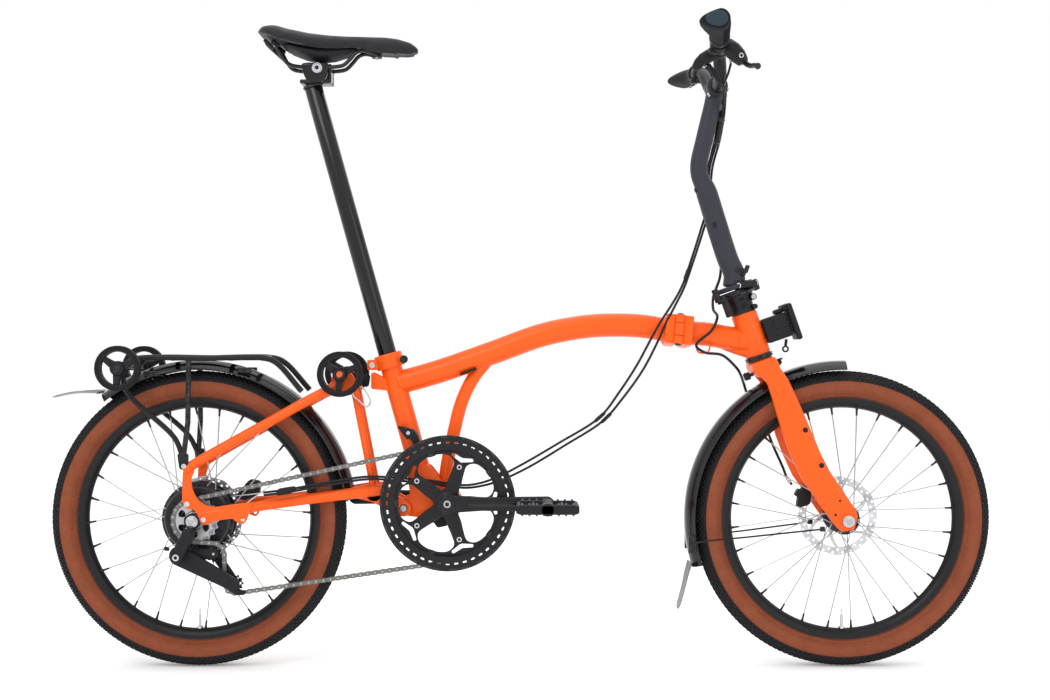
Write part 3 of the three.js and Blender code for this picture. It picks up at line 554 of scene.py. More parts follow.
def tyre(name, body, hub):
    half_high = TYRE_R - TREAD_DEPTH - TYRE_MIDDLE_R

    def on_section(angle, out=0.0):
        a = math.radians(angle)
        return TYRE_MIDDLE_R + (half_high + out) * math.sin(a), (TYRE_HALF_WIDE + out) * math.cos(a)

    left = [on_section(a) for a in np.linspace(-62, 90, 24)]
    bead = [(RIM_R + 0.6, 12.5), (RIM_R + 2.0, 14.2)]
    right = [(r, -y) for r, y in [*bead, *left]][::-1][1:]
    casing = lathe(hub, [*bead, *left, *right], 120)
    ribs = [lathe(hub, [(r - 0.7, y0), (r, y0 + 0.9), (r + 0.7, y0)], 120)
            for r, y0 in [(217, 20.3), (221, 22.6)]]
    tread = [on_section(a, 0.35) for a in np.linspace(TREAD_EDGE, 180 - TREAD_EDGE, 21)]
    inner = [on_section(a, -1.0) for a in np.linspace(180 - TREAD_EDGE, TREAD_EDGE, 21)]
    band = lathe(hub, [*tread, *inner], 120)
    knobs = []
    rows = [(TREAD_EDGE + 4, 0, 5.4, 3.2), (36, 0.5, 4.6, 3.6), (50, 0, 4.6, 3.4), (64, 0.5, 4.4, 3.4),
            (77, 0, 4.4, 3.4), (90, 0.5, 4.4, 3.4)]
    for angle, offset, long, wide in rows:
        for mirror in ([1] if angle == 90 else [1, -1]):
            r0, y0 = on_section(angle, 0.2)
            r1, y1 = on_section(angle, 2.5)
            lean = math.radians(angle)
            for i in range(KNOBS_AROUND):
                turn = (i + offset) * 2 * math.pi / KNOBS_AROUND
                corners = []
                for r, y, size in [(r0, y0, 1.0), (r1, y1, 0.8)]:
                    for u, v in [(-1, -1), (1, -1), (1, 1), (-1, 1)]:
                        along = u * long / 2 * size
                        rr = r - v * wide / 2 * size * math.cos(lean)
                        yy = (y + v * wide / 2 * size * math.sin(lean)) * mirror
                        spin = turn + along / rr
                        corners.append(at_y(polar(hub, rr, spin), yy))
                knobs.append((corners, [(4, 5, 6, 7), (0, 1, 5, 4), (1, 2, 6, 5), (2, 3, 7, 6),
                                        (3, 0, 4, 7)]))
    piece(name, body, "tyre_tan", (TAN, casing, both(merged(*ribs))), (TREAD, band, *knobs))


def wheel_rim(name, body, hub, flange_r, flange_y, offset):
    profile = [(193, 2.5), (192.3, 0), (193, -2.5), (197, -8.5), (203, -12.6), (209.5, -13.8),
               (211.5, -13.2), (211.5, -11.8), (206, -11), (204, 0), (206, 11), (211.5, 11.8),
               (211.5, 13.2), (209.5, 13.8), (203, 12.6), (197, 8.5)]
    ring = lathe(hub, profile, 128)
    flanges = [lathe(hub, [(flange_r - 0.2, y - 1.6), (flange_r + 5.4, y - 1.6), (flange_r + 6, y - 0.8),
                           (flange_r + 6, y + 0.8), (flange_r + 5.4, y + 1.6), (flange_r - 0.2, y + 1.6)],
                     56) for y in (-flange_y, flange_y)]
    spokes, nipples = [], []
    for i in range(SPOKES):
        angle = (i + offset) * 2 * math.pi / SPOKES
        lean = 0.35 * (1 if i % 4 < 2 else -1) * (1.7 if flange_r < 40 else 1.0)
        side = 1 if i % 2 else -1
        start = angle + lean
        foot = at_y(polar(hub, flange_r + 3, start), side * (flange_y + 1.2))
        head = at_y(polar(hub, SPOKE_TOP_R, angle), side * 3)
        a, b = Vector(foot), Vector(head)
        way = (b - a).normalized()
        spokes.append(bar(a, b, SPOKE_R, sides=8, chamfer=0.2))
        spokes.append(bar(a - Vector((0, side * 2.6, 0)), a + Vector((0, side * 0.9, 0)), 1.5, sides=8,
                          chamfer=0.3))
        nipples.append(spindle(b - way * 17, b, [(0, 1.7), (0.5, 1.9), (0.85, 3.0), (1, 3.2)], 10, 0.3))
    stages = [(0, 3.0), (0.08, 3.0), (0.09, 2.5), (0.72, 2.5), (0.73, 1.3), (0.9, 1.3), (0.91, 1.9),
              (1, 1.9)]
    valve = spindle((hub[0], 0, hub[1] - 195), (hub[0], 0, hub[1] - 159), stages, 16, 0.3)
    valve_nut = spindle((hub[0], 0, hub[1] - 193.5), (hub[0], 0, hub[1] - 189), 5.5, 6, 0.5)
    piece(name, body, "rim_black", (RIM, ring), (BLACK, *flanges), (BRUSHED, *spokes), (BLACK, *nipples),
          (STEEL, valve, valve_nut))


def rotor(name, body, hub, y):
    """A brake disc: a drilled track on six swept arms."""
    holes = []
    for i in range(24):
        angle = i * 2 * math.pi / 24
        for r, turn in [(60.2, 0.0), (65.8, 0.13)]:
            holes.append(circle(polar(hub, r, angle + turn), 2.3, 10))
    edge = [polar(hub, ROTOR_R - 0.9 + 0.9 * math.cos(12 * a), a)
            for a in np.linspace(0, 2 * math.pi, 145)[:-1]]
    track = plate(edge, y - ROTOR_HALF_THICK, y + ROTOR_HALF_THICK, [circle(hub, 55.6, 96)[::-1], *holes],
                  0.15, 1)
    arms = []
    for i in range(6):
        spine = [(r, math.radians(60 * i) + (r - 24) / 34 * 0.55) for r in np.linspace(22, 57, 8)]
        one, two = [], []
        for r, a in spine:
            half = (3.4 if r > 30 else 5.0) / r
            one.append(polar(hub, r, a - half))
            two.append(polar(hub, r, a + half))
        arms.append(plate(one + two[::-1], y - 0.8, y + 0.8, bevel=0.15, steps=1))
    carrier = plate(circle(hub, 27, 48), y - 1.0, y + 1.0, [circle(hub, 12, 32)[::-1]], 0.3)
    side = -1 if y < 0 else 1
    bolts = [bolt(at_y(polar(hub, 21, a), y),
                  at_y(polar(hub, 21, a), y + side * 3), 3.2, 2.0)
             for a in turns(6)]
    piece(name, body, "bright_steel", (STEEL, track, *arms), (BLACK, carrier), (STEEL, *bolts))


def rear_hub():
    body = lathe(REAR_HUB, [(6, -59), (11.2, -59), (11.5, -57), (11.5, -37), (30, -34.5), (50, -33),
                            (54.5, -31), (56.6, -27), (56.6, -20), (55.2, -18.5), (55.2, 18.5), (56.6, 20),
                            (56.6, 27), (54.5, 31), (40, 33.4), (23.5, 34.5), (23.5, 39), (12, 39),
                            (12, 59.4), (11, 60), (6, 60)], 80)
    cooling = [plate(arc(REAR_HUB, 49, a - 7, a + 7, 6) + arc(REAR_HUB, 33, a + 7, a - 7, 6), -36.2, -33,
                     bevel=0.6) for a in range(0, 360, 30)]
    rings = [lathe(REAR_HUB, [(r, -36.4), (r + 1.6, -36.4), (r + 1.6, -33), (r, -33)], 64)
             for r in (25, 31)]
    bolts = [bolt(at_y(polar(REAR_HUB, 52.5, a), 31),
                  at_y(polar(REAR_HUB, 52.5, a), 33.4), 2.2, 2)
             for a in turns(8)]
    piece("rear_hub_looks", "rear_wheel", "black_alloy", (BLACK, body), (PLASTIC, *cooling), (GREY, *rings),
          (STEEL, *bolts))


def front_hub():
    body = lathe(FRONT_HUB, [(6, -44), (11, -44), (12, -43), (12, -34), (14, -32), (19.5, -30.4),
                             (20.6, -29.5), (20.6, -22.5), (19.5, -21.5), (14.5, -19), (13.4, -14),
                             (13.4, 14), (14.5, 19), (19.5, 21.5), (20.6, 22.5), (20.6, 29.5), (23.4, 31),
                             (23.4, 33), (12, 33), (12, 43), (11, 44), (6, 44)], 64)
    seals = [lathe(FRONT_HUB, [(7, y - 1), (10, y - 1), (10, y + 1), (7, y + 1)], 40)
             for y in (-44.4, 44.4)]
    piece("front_hub_looks", "front_wheel", "black_alloy", (BLACK, body), (GREY, *seals))


def axle(name, body, hub, half, nut_in):
    shaft = bar(at_y(hub, -half), at_y(hub, half), 4.8, chamfer=0.8)
    parts = []
    for side in (-1, 1):
        flange = spindle(at_y(hub, side * nut_in), at_y(hub, side * (nut_in + 3)), 10.2, 40)
        nut = spindle(at_y(hub, side * (nut_in + 2.6)), at_y(hub, side * (half - 2)),
                      [(0, 8.6), (0.8, 8.6), (1, 7.6)], 6, 0.8)
        parts += [flange, nut]
    piece(name, body, "bright_steel", (BRUSHED, shaft), (STEEL, *parts))


tyre("rear_tyre_looks", "rear_wheel", REAR_HUB)
tyre("front_tyre_looks", "front_wheel", FRONT_HUB)
wheel_rim("rear_rim_looks", "rear_wheel", REAR_HUB, 57, 16, 0.2)
wheel_rim("front_rim_looks", "front_wheel", FRONT_HUB, 21, 26, 0.4)
rotor("rear_rotor_looks", "rear_wheel", REAR_HUB, REAR_ROTOR_Y)
rotor("front_rotor_looks", "front_wheel", FRONT_HUB, FRONT_ROTOR_Y)
rear_hub()
front_hub()
axle("rear_axle_looks", "rear_frame", REAR_HUB, 82, 69)
axle("front_axle_looks", "fork", FRONT_HUB, 72, 64)


# ---------------------------------------------------------------- main frame
SEAT_TOP, SEAT_LOW = Vector((-229.4, 0, 529.5)), Vector((-170, 0, 316))
SEAT_WAY = (SEAT_LOW - SEAT_TOP).normalized()
SEAT_TUBE_R = 18.5
HINGE = Vector((273, 0, 582))
KNUCKLE_R = 11
KNUCKLE_SPLIT = 11.5
PIN_WAY = -joint_way("main_fold")
TUBE_WAY = Vector((PIN_WAY.z, 0, -PIN_WAY.x)).normalized()
OUT_WAY = PIN_WAY.cross(TUBE_WAY).normalized()
FACE_WAY = OUT_WAY.cross(PIN_WAY).normalized()
HINGE_AXES = (FACE_WAY, OUT_WAY, PIN_WAY)
PIN_AT = HINGE - OUT_WAY * 34


def on_seat(down):
    """A place on the seat tube's line, that far below its top."""
    return SEAT_TOP + SEAT_WAY * down


def hinge_block(side):
    """The forged end of one half of the frame: a block round the tube, a collar and the knuckles' arm."""
    body = block(HINGE + FACE_WAY * side * 12.5, (23.4, 50, 51), HINGE_AXES, 7, 4)
    arm = block(HINGE + FACE_WAY * side * 16 - OUT_WAY * 30, (16, 16, 51), HINGE_AXES, 3, 3)
    collar = spindle(HINGE + TUBE_WAY * side * 22, HINGE + TUBE_WAY * side * 27,
                     [(0, 24.6), (0.55, 24), (1, 21.4)], 48)
    return merged(body, arm, collar)


def knuckle(low, high):
    """A stretch of the main hinge's barrel."""
    return spindle(PIN_AT + PIN_WAY * low, PIN_AT + PIN_WAY * high, KNUCKLE_R - 1.6, 40, 0.6)


def weld(centre, way, r, thick=1.6):
    """A low bead round a tube where it is brazed on."""
    way = Vector(way).normalized()
    profile = [(0, r - 0.8), (0.3, r + thick * 0.6), (0.5, r + thick * 0.7), (0.7, r + thick * 0.6),
               (1, r - 0.8)]
    return spindle(Vector(centre) - way * thick * 1.6, Vector(centre) + way * thick * 1.6, profile, 48, 0.2)


def main_frame():
    seat_tube = lathe_along(SEAT_TOP, SEAT_LOW, [(0, 16.6), (0, SEAT_TUBE_R), (1, SEAT_TUBE_R), (1, 16.6)])
    line = [(-215, 492), (-145, 512), (-47, 546), (33, 575), (86, 587), (138, 593), (208, 592), (258, 584)]
    tube = sweep(xz(line), 20.5, 56, 10)
    bend = [(-54, 538), (-84, 500), (-103, 461), (-117.6, 405), (-130, 344), (-133, 300)]
    brace = sweep(xz(bend), 11.5, 36, 10)
    shell = lathe(BB, [(17.2, -34), (20.6, -34), (21.4, -33), (21.4, 33), (20.6, 34), (17.2, 34)], 64)
    lug = rounded([(-199, 345), (-160, 352), (-133, 318), (-108, 300), (-110, 274), (-130, 266),
                   (-165, 258), (-196, 262), (-214, 266), (-217, 284), (-205, 292), (-192, 298)], 8)
    lugs = both(plate(lug, 17, 23, bevel=1.6))
    bridge = sweep([(-168, -14, 322), (-168, 14, 322)], 10, 24, 0)
    stop = plate(rounded([(-261, 482), (-261, 510), (-256, 511), (-234, 500), (-226, 478), (-240, 480)], 4),
                 -12, 12, bevel=2)
    beads = [weld((-206, 0, 494.6), (70, 0, 20), 20.3), weld((-59, 0, 533), (-40, 0, -50), 11.8),
             weld((-131, 0, 312), (0, 0, 1), 11.6), weld((-171.5, 0, 322), SEAT_WAY, SEAT_TUBE_R)]
    slot = plate(rounded([(-105, 505.5), (-77, 515.5), (-78, 519.5), (-106, 509.5)], 1.8), -21.4, 21.4,
                 bevel=0.5)
    bolts = merged(*[bolt(at_y(PIVOT, s * 23), at_y(PIVOT, s * 26), 6.5, 2.6) for s in (-1, 1)])
    whole = merged(seat_tube, tube, brace, shell, lugs, bridge, stop, hinge_block(-1),
                   knuckle(-KNUCKLE_SPLIT + 0.7, KNUCKLE_SPLIT - 0.7), *beads)
    piece("main_frame_looks", "main_frame", "frame_paint", (ORANGE, whole), (PLASTIC, slot), (STEEL, bolts))


def seat_clamp():
    collar = lathe_along(on_seat(-14), on_seat(11),
                         [(0, 17.2), (0, 23.4), (0.06, 24.5), (0.94, 24.5), (1, 23.4), (1, 19), (0.57, 19),
                          (0.56, 17.2)])
    ears = both(block((-257, 7.4, 524), (22, 11, 18), bevel=3, segments=3))
    clamp_bolt = bolt((-259, -13, 523), (-259, -16.5, 523), 5.2, 3)
    knob = spindle((-203, -21, 534), (-203, -27, 534), 7, 32)
    piece("seat_clamp_looks", "main_frame", "frame_paint", (ORANGE, collar, ears), (STEEL, clamp_bolt),
          (BLACK, knob))


def seat_latch():
    cam = spindle((-258, 16, 524), (-258, 27, 524), 6.4, 32)
    handle = plate(link((-258, 524), 6.6, (-214, 528), 5), 26, 31, bevel=1.6, steps=3)
    piece("seat_latch_looks", "seat_latch", "black_alloy", (BLACK, cam, handle))


def hinge_pin():
    pin = spindle(PIN_AT - PIN_WAY * 28, PIN_AT + PIN_WAY * 28,
                  [(0, 4.8), (0.03, 6.6), (0.05, 6.8), (0.06, 4.8), (0.94, 4.8), (0.95, 6.8), (0.97, 6.6),
                   (1, 4.8)], 32)
    piece("hinge_pin_looks", "main_frame", "black_alloy", (BLACK, pin))


def pivot_pin():
    piece("pivot_pin_looks", "main_frame", "bright_steel",
          (BRUSHED, bar(at_y(PIVOT, -33), at_y(PIVOT, 33), 5.9)))


def bottom_bracket():
    cup = merged(*[spindle(at_y(BB, s * 30), at_y(BB, s * 36), 16.2, 40) for s in (-1, 1)],
                 *[lathe(BB, [(8.9, s * 36), (15, s * 36), (14.4, s * 37), (9.4, s * 37)], 40)
                   for s in (-1, 1)])
    piece("bottom_bracket_looks", "bottom_bracket", "dark_post", (POST, cup))


def chain_catcher():
    catcher = rounded([(-214, 419), (-183, 412), (-176, 400), (-173, 384), (-182, 382), (-190, 397),
                       (-197, 396)], 4)
    guide = plate(rounded([(-160, 262), (-128, 262), (-127, 244), (-146, 240), (-152, 250), (-160, 250)],
                          4), -12, 12, bevel=2)
    screw = bolt((-194, -44, 407), (-194, -46, 407), 3.4, 2)
    piece("chain_catcher_looks", "main_frame", "black_plastic",
          (PLASTIC, plate(catcher, -44, -19, bevel=1.2), guide), (STEEL, screw))


def frame_latch():
    centre = HINGE + OUT_WAY * 31
    clamp = block(centre, (44, 7, 33), HINGE_AXES, 3, 3)
    rib = block(centre + OUT_WAY * 2.4, (30, 3.6, 8), HINGE_AXES, 1.4, 3)
    wing = block(centre + OUT_WAY * 1.5 + PIN_WAY * 2, (12, 5, 32), HINGE_AXES, 2, 3)
    piece("frame_latch_looks", "frame_latch", "black_alloy", (BLACK, clamp, rib, wing))


main_frame()
seat_clamp()
seat_latch()
hinge_pin()
pivot_pin()
bottom_bracket()
chain_catcher()
frame_latch()


# ---------------------------------------------------------------- rear frame
def rear_frame():
    lower = [(-240, 28, 308), (-262, 31, 306), (-305, 38, 301), (-397, 41, 289), (-470, 57, 279),
             (-545, 65, 268)]
    upper = [(-575, 65, 343), (-560, 64, 354), (-420, 49, 433), (-365, 43, 464), (-315, 34, 490)]
    stays = merged(sweep(lower, lambda t: 10.5 - 2.5 * t, 32, 8, wide=0.85), sweep(upper, 8.5, 28, 8))
    upright = bar((-290, 25, 490), (-255, 26, 312), 6.5, sides=28)
    dropout = rounded([(-577, 342), (-578, 320), (-578, 288), (-570, 278), (-559.8, 278.7), (-552.5, 271),
                       (-549.5, 258), (-542, 251), (-531.9, 252.8), (-523, 258), (-492, 262.5),
                       (-484.8, 255.8), (-473, 252), (-467.5, 260), (-464, 272), (-457, 290), (-492, 286.5),
                       (-524.5, 281.6), (-542, 286), (-553.9, 297), (-561.3, 313), (-563.3, 331),
                       (-556, 345), (-562, 358), (-573, 352)], 7, 5)
    eyelet = circle((-573, 319), 2.2, 12)
    cable_hole = circle((-475, 260), 3.2, 16)
    plates = plate(dropout, 61.5, 68, [eyelet, cable_hole], 1.4, 3)
    pad = lathe(REAR_HUB, [(5.4, 62), (14, 62), (14, 67.6), (13.2, 68.4), (5.4, 68.4)], 40)
    yoke = plate(link(PIVOT, 14, (-254, 303), 16), 23.6, 31, [circle(PIVOT, 6.6, 24)], 1.4, 3)
    yoke_tail = plate(link((-254, 303), 16, (-288, 304), 9.5), 23.4, 31, bevel=1.4, steps=3)
    top = rounded([(-332, 486), (-322, 517), (-300, 520), (-281, 492), (-284, 474), (-310, 478)], 6)
    bracket = plate(top, 24, 32, bevel=1.4, steps=3)
    arm = spindle((-310, 30, 508.5), (-310, 66, 508.5), 5, 24)
    washer = lathe((-310, 508.5), [(3, 63.3), (8, 63.3), (8, 65), (3, 65)], 24)
    side = merged(stays, upright, plates, yoke, yoke_tail, bracket, arm)
    bridges = merged(bar((-283, -30, 301), (-283, 30, 301), 5.5), bar((-312, -32, 503), (-312, 32, 503), 8),
                     bar((-420, -47, 434), (-420, 47, 434), 4.5))
    bush = merged(*[lathe((-248, 306), [(1, s * 31.2), (8.6, s * 31.2), (9.2, s * 32), (8.6, s * 33.4),
                                        (4, s * 33.4), (3.4, s * 32.2), (1, s * 32.2)], 32)
                    for s in (-1, 1)])
    bolts = merged(*[bolt((x, s * 68, z), (x, s * 70.6, z), 4.6, 2.4) for s in (-1, 1)
                     for x, z in [(-569.5, 287), (-541.5, 260.5)]])
    hook_path = [(-286, -34, 487), (-290, -36, 474), (-279, -36, 462), (-266, -35, 452), (-260, -34, 460),
                 (-268, -34, 478), (-276, -34, 488)]
    wire = sweep(hook_path, 1.3, 10, 8)
    piece("rear_frame_looks", "rear_frame", "frame_paint", (ORANGE, both(side), bridges),
          (BLACK, bush, both(washer), both(pad)), (STEEL, bolts, wire))


def suspension_block():
    low, high = Vector((-299, 0, 501)), Vector((-265, 0, 496))
    body = spindle(low, high, [(0, 9.5), (0.12, 11.6), (0.3, 10.6), (0.5, 11.8), (0.7, 10.6), (0.88, 11.8),
                               (1, 9.8)], 48, 1.2)
    piece("suspension_block_looks", "rear_frame", "rubber", (RUBBER, body))


def mudguard(name, body, hub, start, end, flap, fittings):
    """An arched blade with rolled edges, its flap, and the fittings that hold it."""
    outer = [(275.2 - 15 * (abs(t) ** 2.6), 31 * t) for t in np.linspace(-1, 1, 21)]
    inner = [(r - 1.7, y * 0.985) for r, y in outer[::-1]]
    blade = lathe(hub, outer + inner, 96, start, end - start)
    edges = [lathe(hub, [(260.4 + 1.0 * math.cos(a), s * 30.8 + 1.0 * math.sin(a)) for a in turns(8)], 96,
                   start, end - start) for s in (-1, 1)]
    piece(name, body, "gloss_black", (GLOSS, blade, *edges), (SMOKE, flap), (BLACK, fittings))


FLAP_THICK = 1.6
FLAP_CROWN = 5


def flap_sheet(line, half_start, half_end):
    """A thin flap along a line of (x, z), arched across and rounded at its tip."""
    rings = []
    last = len(line) - 1
    for i, (x, z) in enumerate(line):
        t = i / last
        half = half_start + (half_end - half_start) * t
        half *= math.sqrt(max(0.06, 1 - max(0, (t - 0.8) / 0.22) ** 2))
        ahead = np.array(line[min(i + 1, last)], float) - np.array(line[max(i - 1, 0)], float)
        up = np.array([-ahead[1], ahead[0]]) / np.linalg.norm(ahead)
        spread = np.linspace(-1, 1, 13)
        arch = -FLAP_CROWN * (1 - t) * spread ** 2
        top = [(x + up[0] * a, half * s, z + up[1] * a) for s, a in zip(spread, arch)]
        low = [(x + up[0] * (a - FLAP_THICK), half * s * 0.98, z + up[1] * (a - FLAP_THICK))
               for s, a in zip(spread[::-1], arch[::-1])]
        rings.append(top + low)
    return loft(rings)


def curve_line(points):
    """A smooth line through points (x, z)."""
    path = smooth_path(xz(points), 16)
    return [(p[0], p[2]) for p in path]


def rear_mudguard():
    line = curve_line([(-733, 474), (-752, 474.5), (-775, 474), (-796, 471), (-815, 467)])
    clips = both(merged(block((-640, 30, 509), (26, 5, 9), bevel=1.6),
                        block((-478, 30, 515), (24, 5, 9), bevel=1.6)))
    rivets = merged(*[spindle((-735, y, 474), (-735, y, 478), [(0, 4), (1, 3)], 20) for y in (-12, 12)])
    mudguard("rear_mudguard_looks", "rear_frame", REAR_HUB, 10, 128, flap_sheet(line, 28, 26),
             merged(clips, rivets))


def front_mudguard():
    line = curve_line([(299.5, 178), (293, 158), (288, 140), (281, 118), (274, 99)])
    wires = merged(sweep([(300, 31, 206), (294, 37, 213), (300, 39, 217), (400, 47, 229.5), (514, 58, 243)],
                         1.6, 12, 8), block((296, 33, 214), (14, 7, 30), bevel=2),
                   block((516, 58.5, 243.5), (9, 5, 9), bevel=1.5))
    strap = block((440, 0, 530), (34, 18, 3), leaning(0.94, 0.33), 1.2)
    mudguard("front_mudguard_looks", "fork", FRONT_HUB, 89, 198, flap_sheet(line, 28, 24),
             merged(both(wires), strap))


def rack():
    half = merged(sweep([(-678, 47, 524), (-672, 47, 531), (-655, 47, 536), (-545, 47, 536),
                         (-440, 47, 536), (-420, 47.5, 528), (-376, 52, 479)], 5, 20, 8),
                  bar((-571, 47, 536), (-571, 54, 424), 4.6, sides=20),
                  bar((-571, 54, 426), (-577, 64.5, 361), 4.6, sides=20),
                  sweep([(-681, 47, 521), (-683, 49, 496), (-672, 50, 472), (-594, 55, 400),
                         (-578, 62, 368)], 4.6, 20, 10),
                  bar((-681, 40, 519), (-681, 104, 519), 4.8, sides=20),
                  plate(rounded([(-586, 374), (-566, 374), (-567, 346), (-582, 346)], 5), 68.6, 71.6,
                        [circle((-574, 352), 2.6, 12)], 0.8))
    rungs = merged(*[bar((x, -48, z), (x, 48, z), 4.6, sides=20)
                     for x, z in [(-681, 519), (-655, 536), (-600, 536), (-500, 536), (-445, 536)]])
    rails = both(bar((-655, 20, 536), (-445, 20, 536), 4.0, sides=20))
    bolts = both(bolt((-574, 71.6, 352), (-574, 74, 352), 4.2, 2.4))
    piece("rack_looks", "rear_frame", "black_alloy", (BLACK, both(half), rungs, rails), (STEEL, bolts))


def roller(name, centre, y, radius):
    """A three-spoked roller with a rubber tread."""
    tread = lathe(centre, [(radius - 6, y - 8), (radius - 1, y - 8), (radius, y - 7), (radius, y + 7),
                           (radius - 1, y + 8), (radius - 6, y + 8)], 72)
    ring = lathe(centre, [(radius - 10, y - 6.5), (radius - 5.5, y - 7), (radius - 5.5, y + 7),
                          (radius - 10, y + 6.5)], 72)
    arms = []
    for k in range(3):
        a = math.radians(25 + 120 * k)
        u, v = np.array([math.cos(a), math.sin(a)]), np.array([-math.sin(a), math.cos(a)])
        c = np.array(centre)
        quad = [c + u * 8 + v * 7, c + u * (radius - 8) + v * 4.4, c + u * (radius - 8) - v * 4.4,
                c + u * 8 - v * 7]
        arms.append(plate([tuple(q) for q in quad], y - 5, y + 5, bevel=1.4))
    hub = lathe(centre, [(5.5, y - 8), (11, y - 8), (12.5, y - 6), (12.5, y + 6), (11, y + 8),
                         (5.5, y + 8)], 48)
    side = -1 if y < 0 else 1
    cap = bolt(at_y(centre, y + side * 8), at_y(centre, y + side * 9.6), 6.4, 3)
    piece(name, name.removesuffix("_looks"), "black_plastic", (RUBBER, tread), (PLASTIC, ring, *arms, hub),
          (BLACK, cap))


rear_frame()
suspension_block()
rear_mudguard()
front_mudguard()
rack()
for where in ("rack_roller_right", "rack_roller_left", "frame_roller_right", "frame_roller_left"):
    place = middle(where)
    roller(where + "_looks", (place.x, place.z), place.y, radius_of(where))


# ---------------------------------------------------------------- brakes
def calliper(name, body, hub, y, points, outer):
    """A brake calliper over the disc: its two halves, their bridge, a piston cap and two bolts."""
    side = 1 if y > 0 else -1
    shape = rounded(points, 6)
    halves = merged(plate(shape, y - side * 8, y - side * 2.0, bevel=1.6, steps=3 if side > 0 else 2),
                    plate(shape, y + side * 2.0, y + side * outer, bevel=1.6, steps=3))
    centre = np.mean(points, axis=0)
    away = centre - np.array(hub)
    away /= np.linalg.norm(away)
    bridge_at = centre + away * 12
    bridge = block(at_y(bridge_at, y + side), (14, 16, 9),
                   ((-away[1], 0, away[0]), (0, 1, 0), (away[0], 0, away[1])), 2.5, 3)
    piston = spindle((centre[0] - away[0] * 2, y + side * outer, centre[1] - away[1] * 2),
                     (centre[0] - away[0] * 2, y + side * (outer + 2.5), centre[1] - away[1] * 2),
                     [(0, 9), (1, 8)], 36)
    bolts = merged(*[bolt(at_y(p, y + side * outer), at_y(p, y + side * (outer + 1.6)), 2.8, 2)
                     for p in (centre + (-away[::-1] * (1, -1)) * 11,
                               centre - (-away[::-1] * (1, -1)) * 11)])
    piece(name, body, "black_alloy", (BLACK, halves, bridge, piston), (STEEL, bolts))


calliper("rear_calliper_looks", "rear_frame", REAR_HUB, REAR_ROTOR_Y,
         [(-507, 291), (-498, 300), (-480, 322), (-460, 318), (-463, 293), (-490, 283)], 6)
calliper("front_calliper_looks", "fork", FRONT_HUB, FRONT_ROTOR_Y,
         [(486, 270), (490, 300), (500, 311), (513, 300), (511, 277)], 8)


# ---------------------------------------------------------------- drivetrain
CHAIN_PITCH = 12.7
RING_TEETH = 49
GUARD_SLOTS = 44
SPIDER_ARMS = 5
RING_PIN_R = 99.5
SPROCKET_PIN_R = 36.0
PULLEY_PIN_R = 17.6
CRANK = 170
CAGE_PIVOT = (-583, 199)


def teeth(centre, r, count, depth):
    """The outline of a toothed wheel whose tips reach r."""
    made = []
    for i in range(count):
        for part, height in [(0.0, 1), (0.12, 1), (0.32, 0.15), (0.5, 0), (0.68, 0.15), (0.88, 1)]:
            a = (i + part) * 2 * math.pi / count
            rr = r - depth * (1 - height)
            made.append(polar(centre, rr, a))
    return made


def petal(centre, angle, reach):
    """One rounded window. Reach gives half its width in degrees at each radius."""
    one = [polar(centre, r, math.radians(angle - h)) for r, h in reach]
    two = [polar(centre, r, math.radians(angle + h)) for r, h in reach]
    loop = one + two[::-1]
    path = smooth_path(xz(loop + loop[:2]), 4)
    return [(p[0], p[2]) for p in path[:-8]][::-1]


def chainring():
    windows, gaps, bolts = [], [], []
    for i in range(SPIDER_ARMS):
        windows.append(petal(BB, 36 + 72 * i,
                             [(25, 9), (38, 17), (55, 24.5), (72, 26.5), (82, 19), (85, 7)]))
        a = 72 * i
        gaps.append(rounded([polar(BB, r, math.radians(a + h))
                             for r, h in [(73, 0), (83, -14), (87.5, -12), (81, 0), (87.5, 12), (83, 14)]],
                            3)[::-1])
        at_bolt = polar(BB, 65, math.radians(a))
        bolts.append(bolt(at_y(at_bolt, CHAIN_Y - 4), at_y(at_bolt, CHAIN_Y - 7.4), 4.6, 3.0))
    ring = plate(teeth(BB, 98.4, RING_TEETH, 5.0), CHAIN_Y - 1.5, CHAIN_Y + 1.5,
                 [circle(BB, 9, 32)[::-1], *windows, *gaps], 0.5)
    spider = []
    for i in range(SPIDER_ARMS):
        a = math.radians(72 * i)
        end = polar(BB, 66, a)
        spider.append(plate(link(BB, 15, end, 7.4), CHAIN_Y - 7, CHAIN_Y - 2, bevel=1.4, steps=3))
    hub = lathe(BB, [(8.4, CHAIN_Y - 8.4), (17, CHAIN_Y - 8.4), (19, CHAIN_Y - 7), (19, CHAIN_Y - 2),
                     (8.4, CHAIN_Y - 2)], 48)
    slots = []
    for i in range(GUARD_SLOTS):
        a = math.radians(i * 360 / GUARD_SLOTS)
        c = polar(BB, 104, a)
        u, v = np.array([math.cos(a), math.sin(a)]), np.array([-math.sin(a), math.cos(a)])
        quad = [np.array(c) + u * p * 1.5 + v * q * 3.4 for p, q in [(-1, -1), (1, -1), (1, 1), (-1, 1)]]
        slots.append(rounded([tuple(p) for p in quad], 1.2, 3)[::-1])
    guard = plate(circle(BB, GUARD_R, 144), CHAIN_Y - 6.4, CHAIN_Y - 4.6,
                  [circle(BB, 91, 120)[::-1], *slots], 0.6)
    lip = lathe(BB, [(112, CHAIN_Y - 7.2), (GUARD_R - 0.6, CHAIN_Y - 7.2), (GUARD_R, CHAIN_Y - 6.6),
                     (GUARD_R, CHAIN_Y - 4), (112, CHAIN_Y - 5)], 144)
    tabs = merged(*[block(at_y(polar(BB, 90, a), CHAIN_Y - 4), (12, 3.4, 12),
                          leaning(math.cos(a), math.sin(a)), 1.2)
                    for a in np.radians([36, 108, 180, 252, 324])])
    piece("chainring_looks", "crankset", "black_alloy", (BLACK, ring, *spider, hub, guard, lip, tabs),
          (STEEL, *bolts))


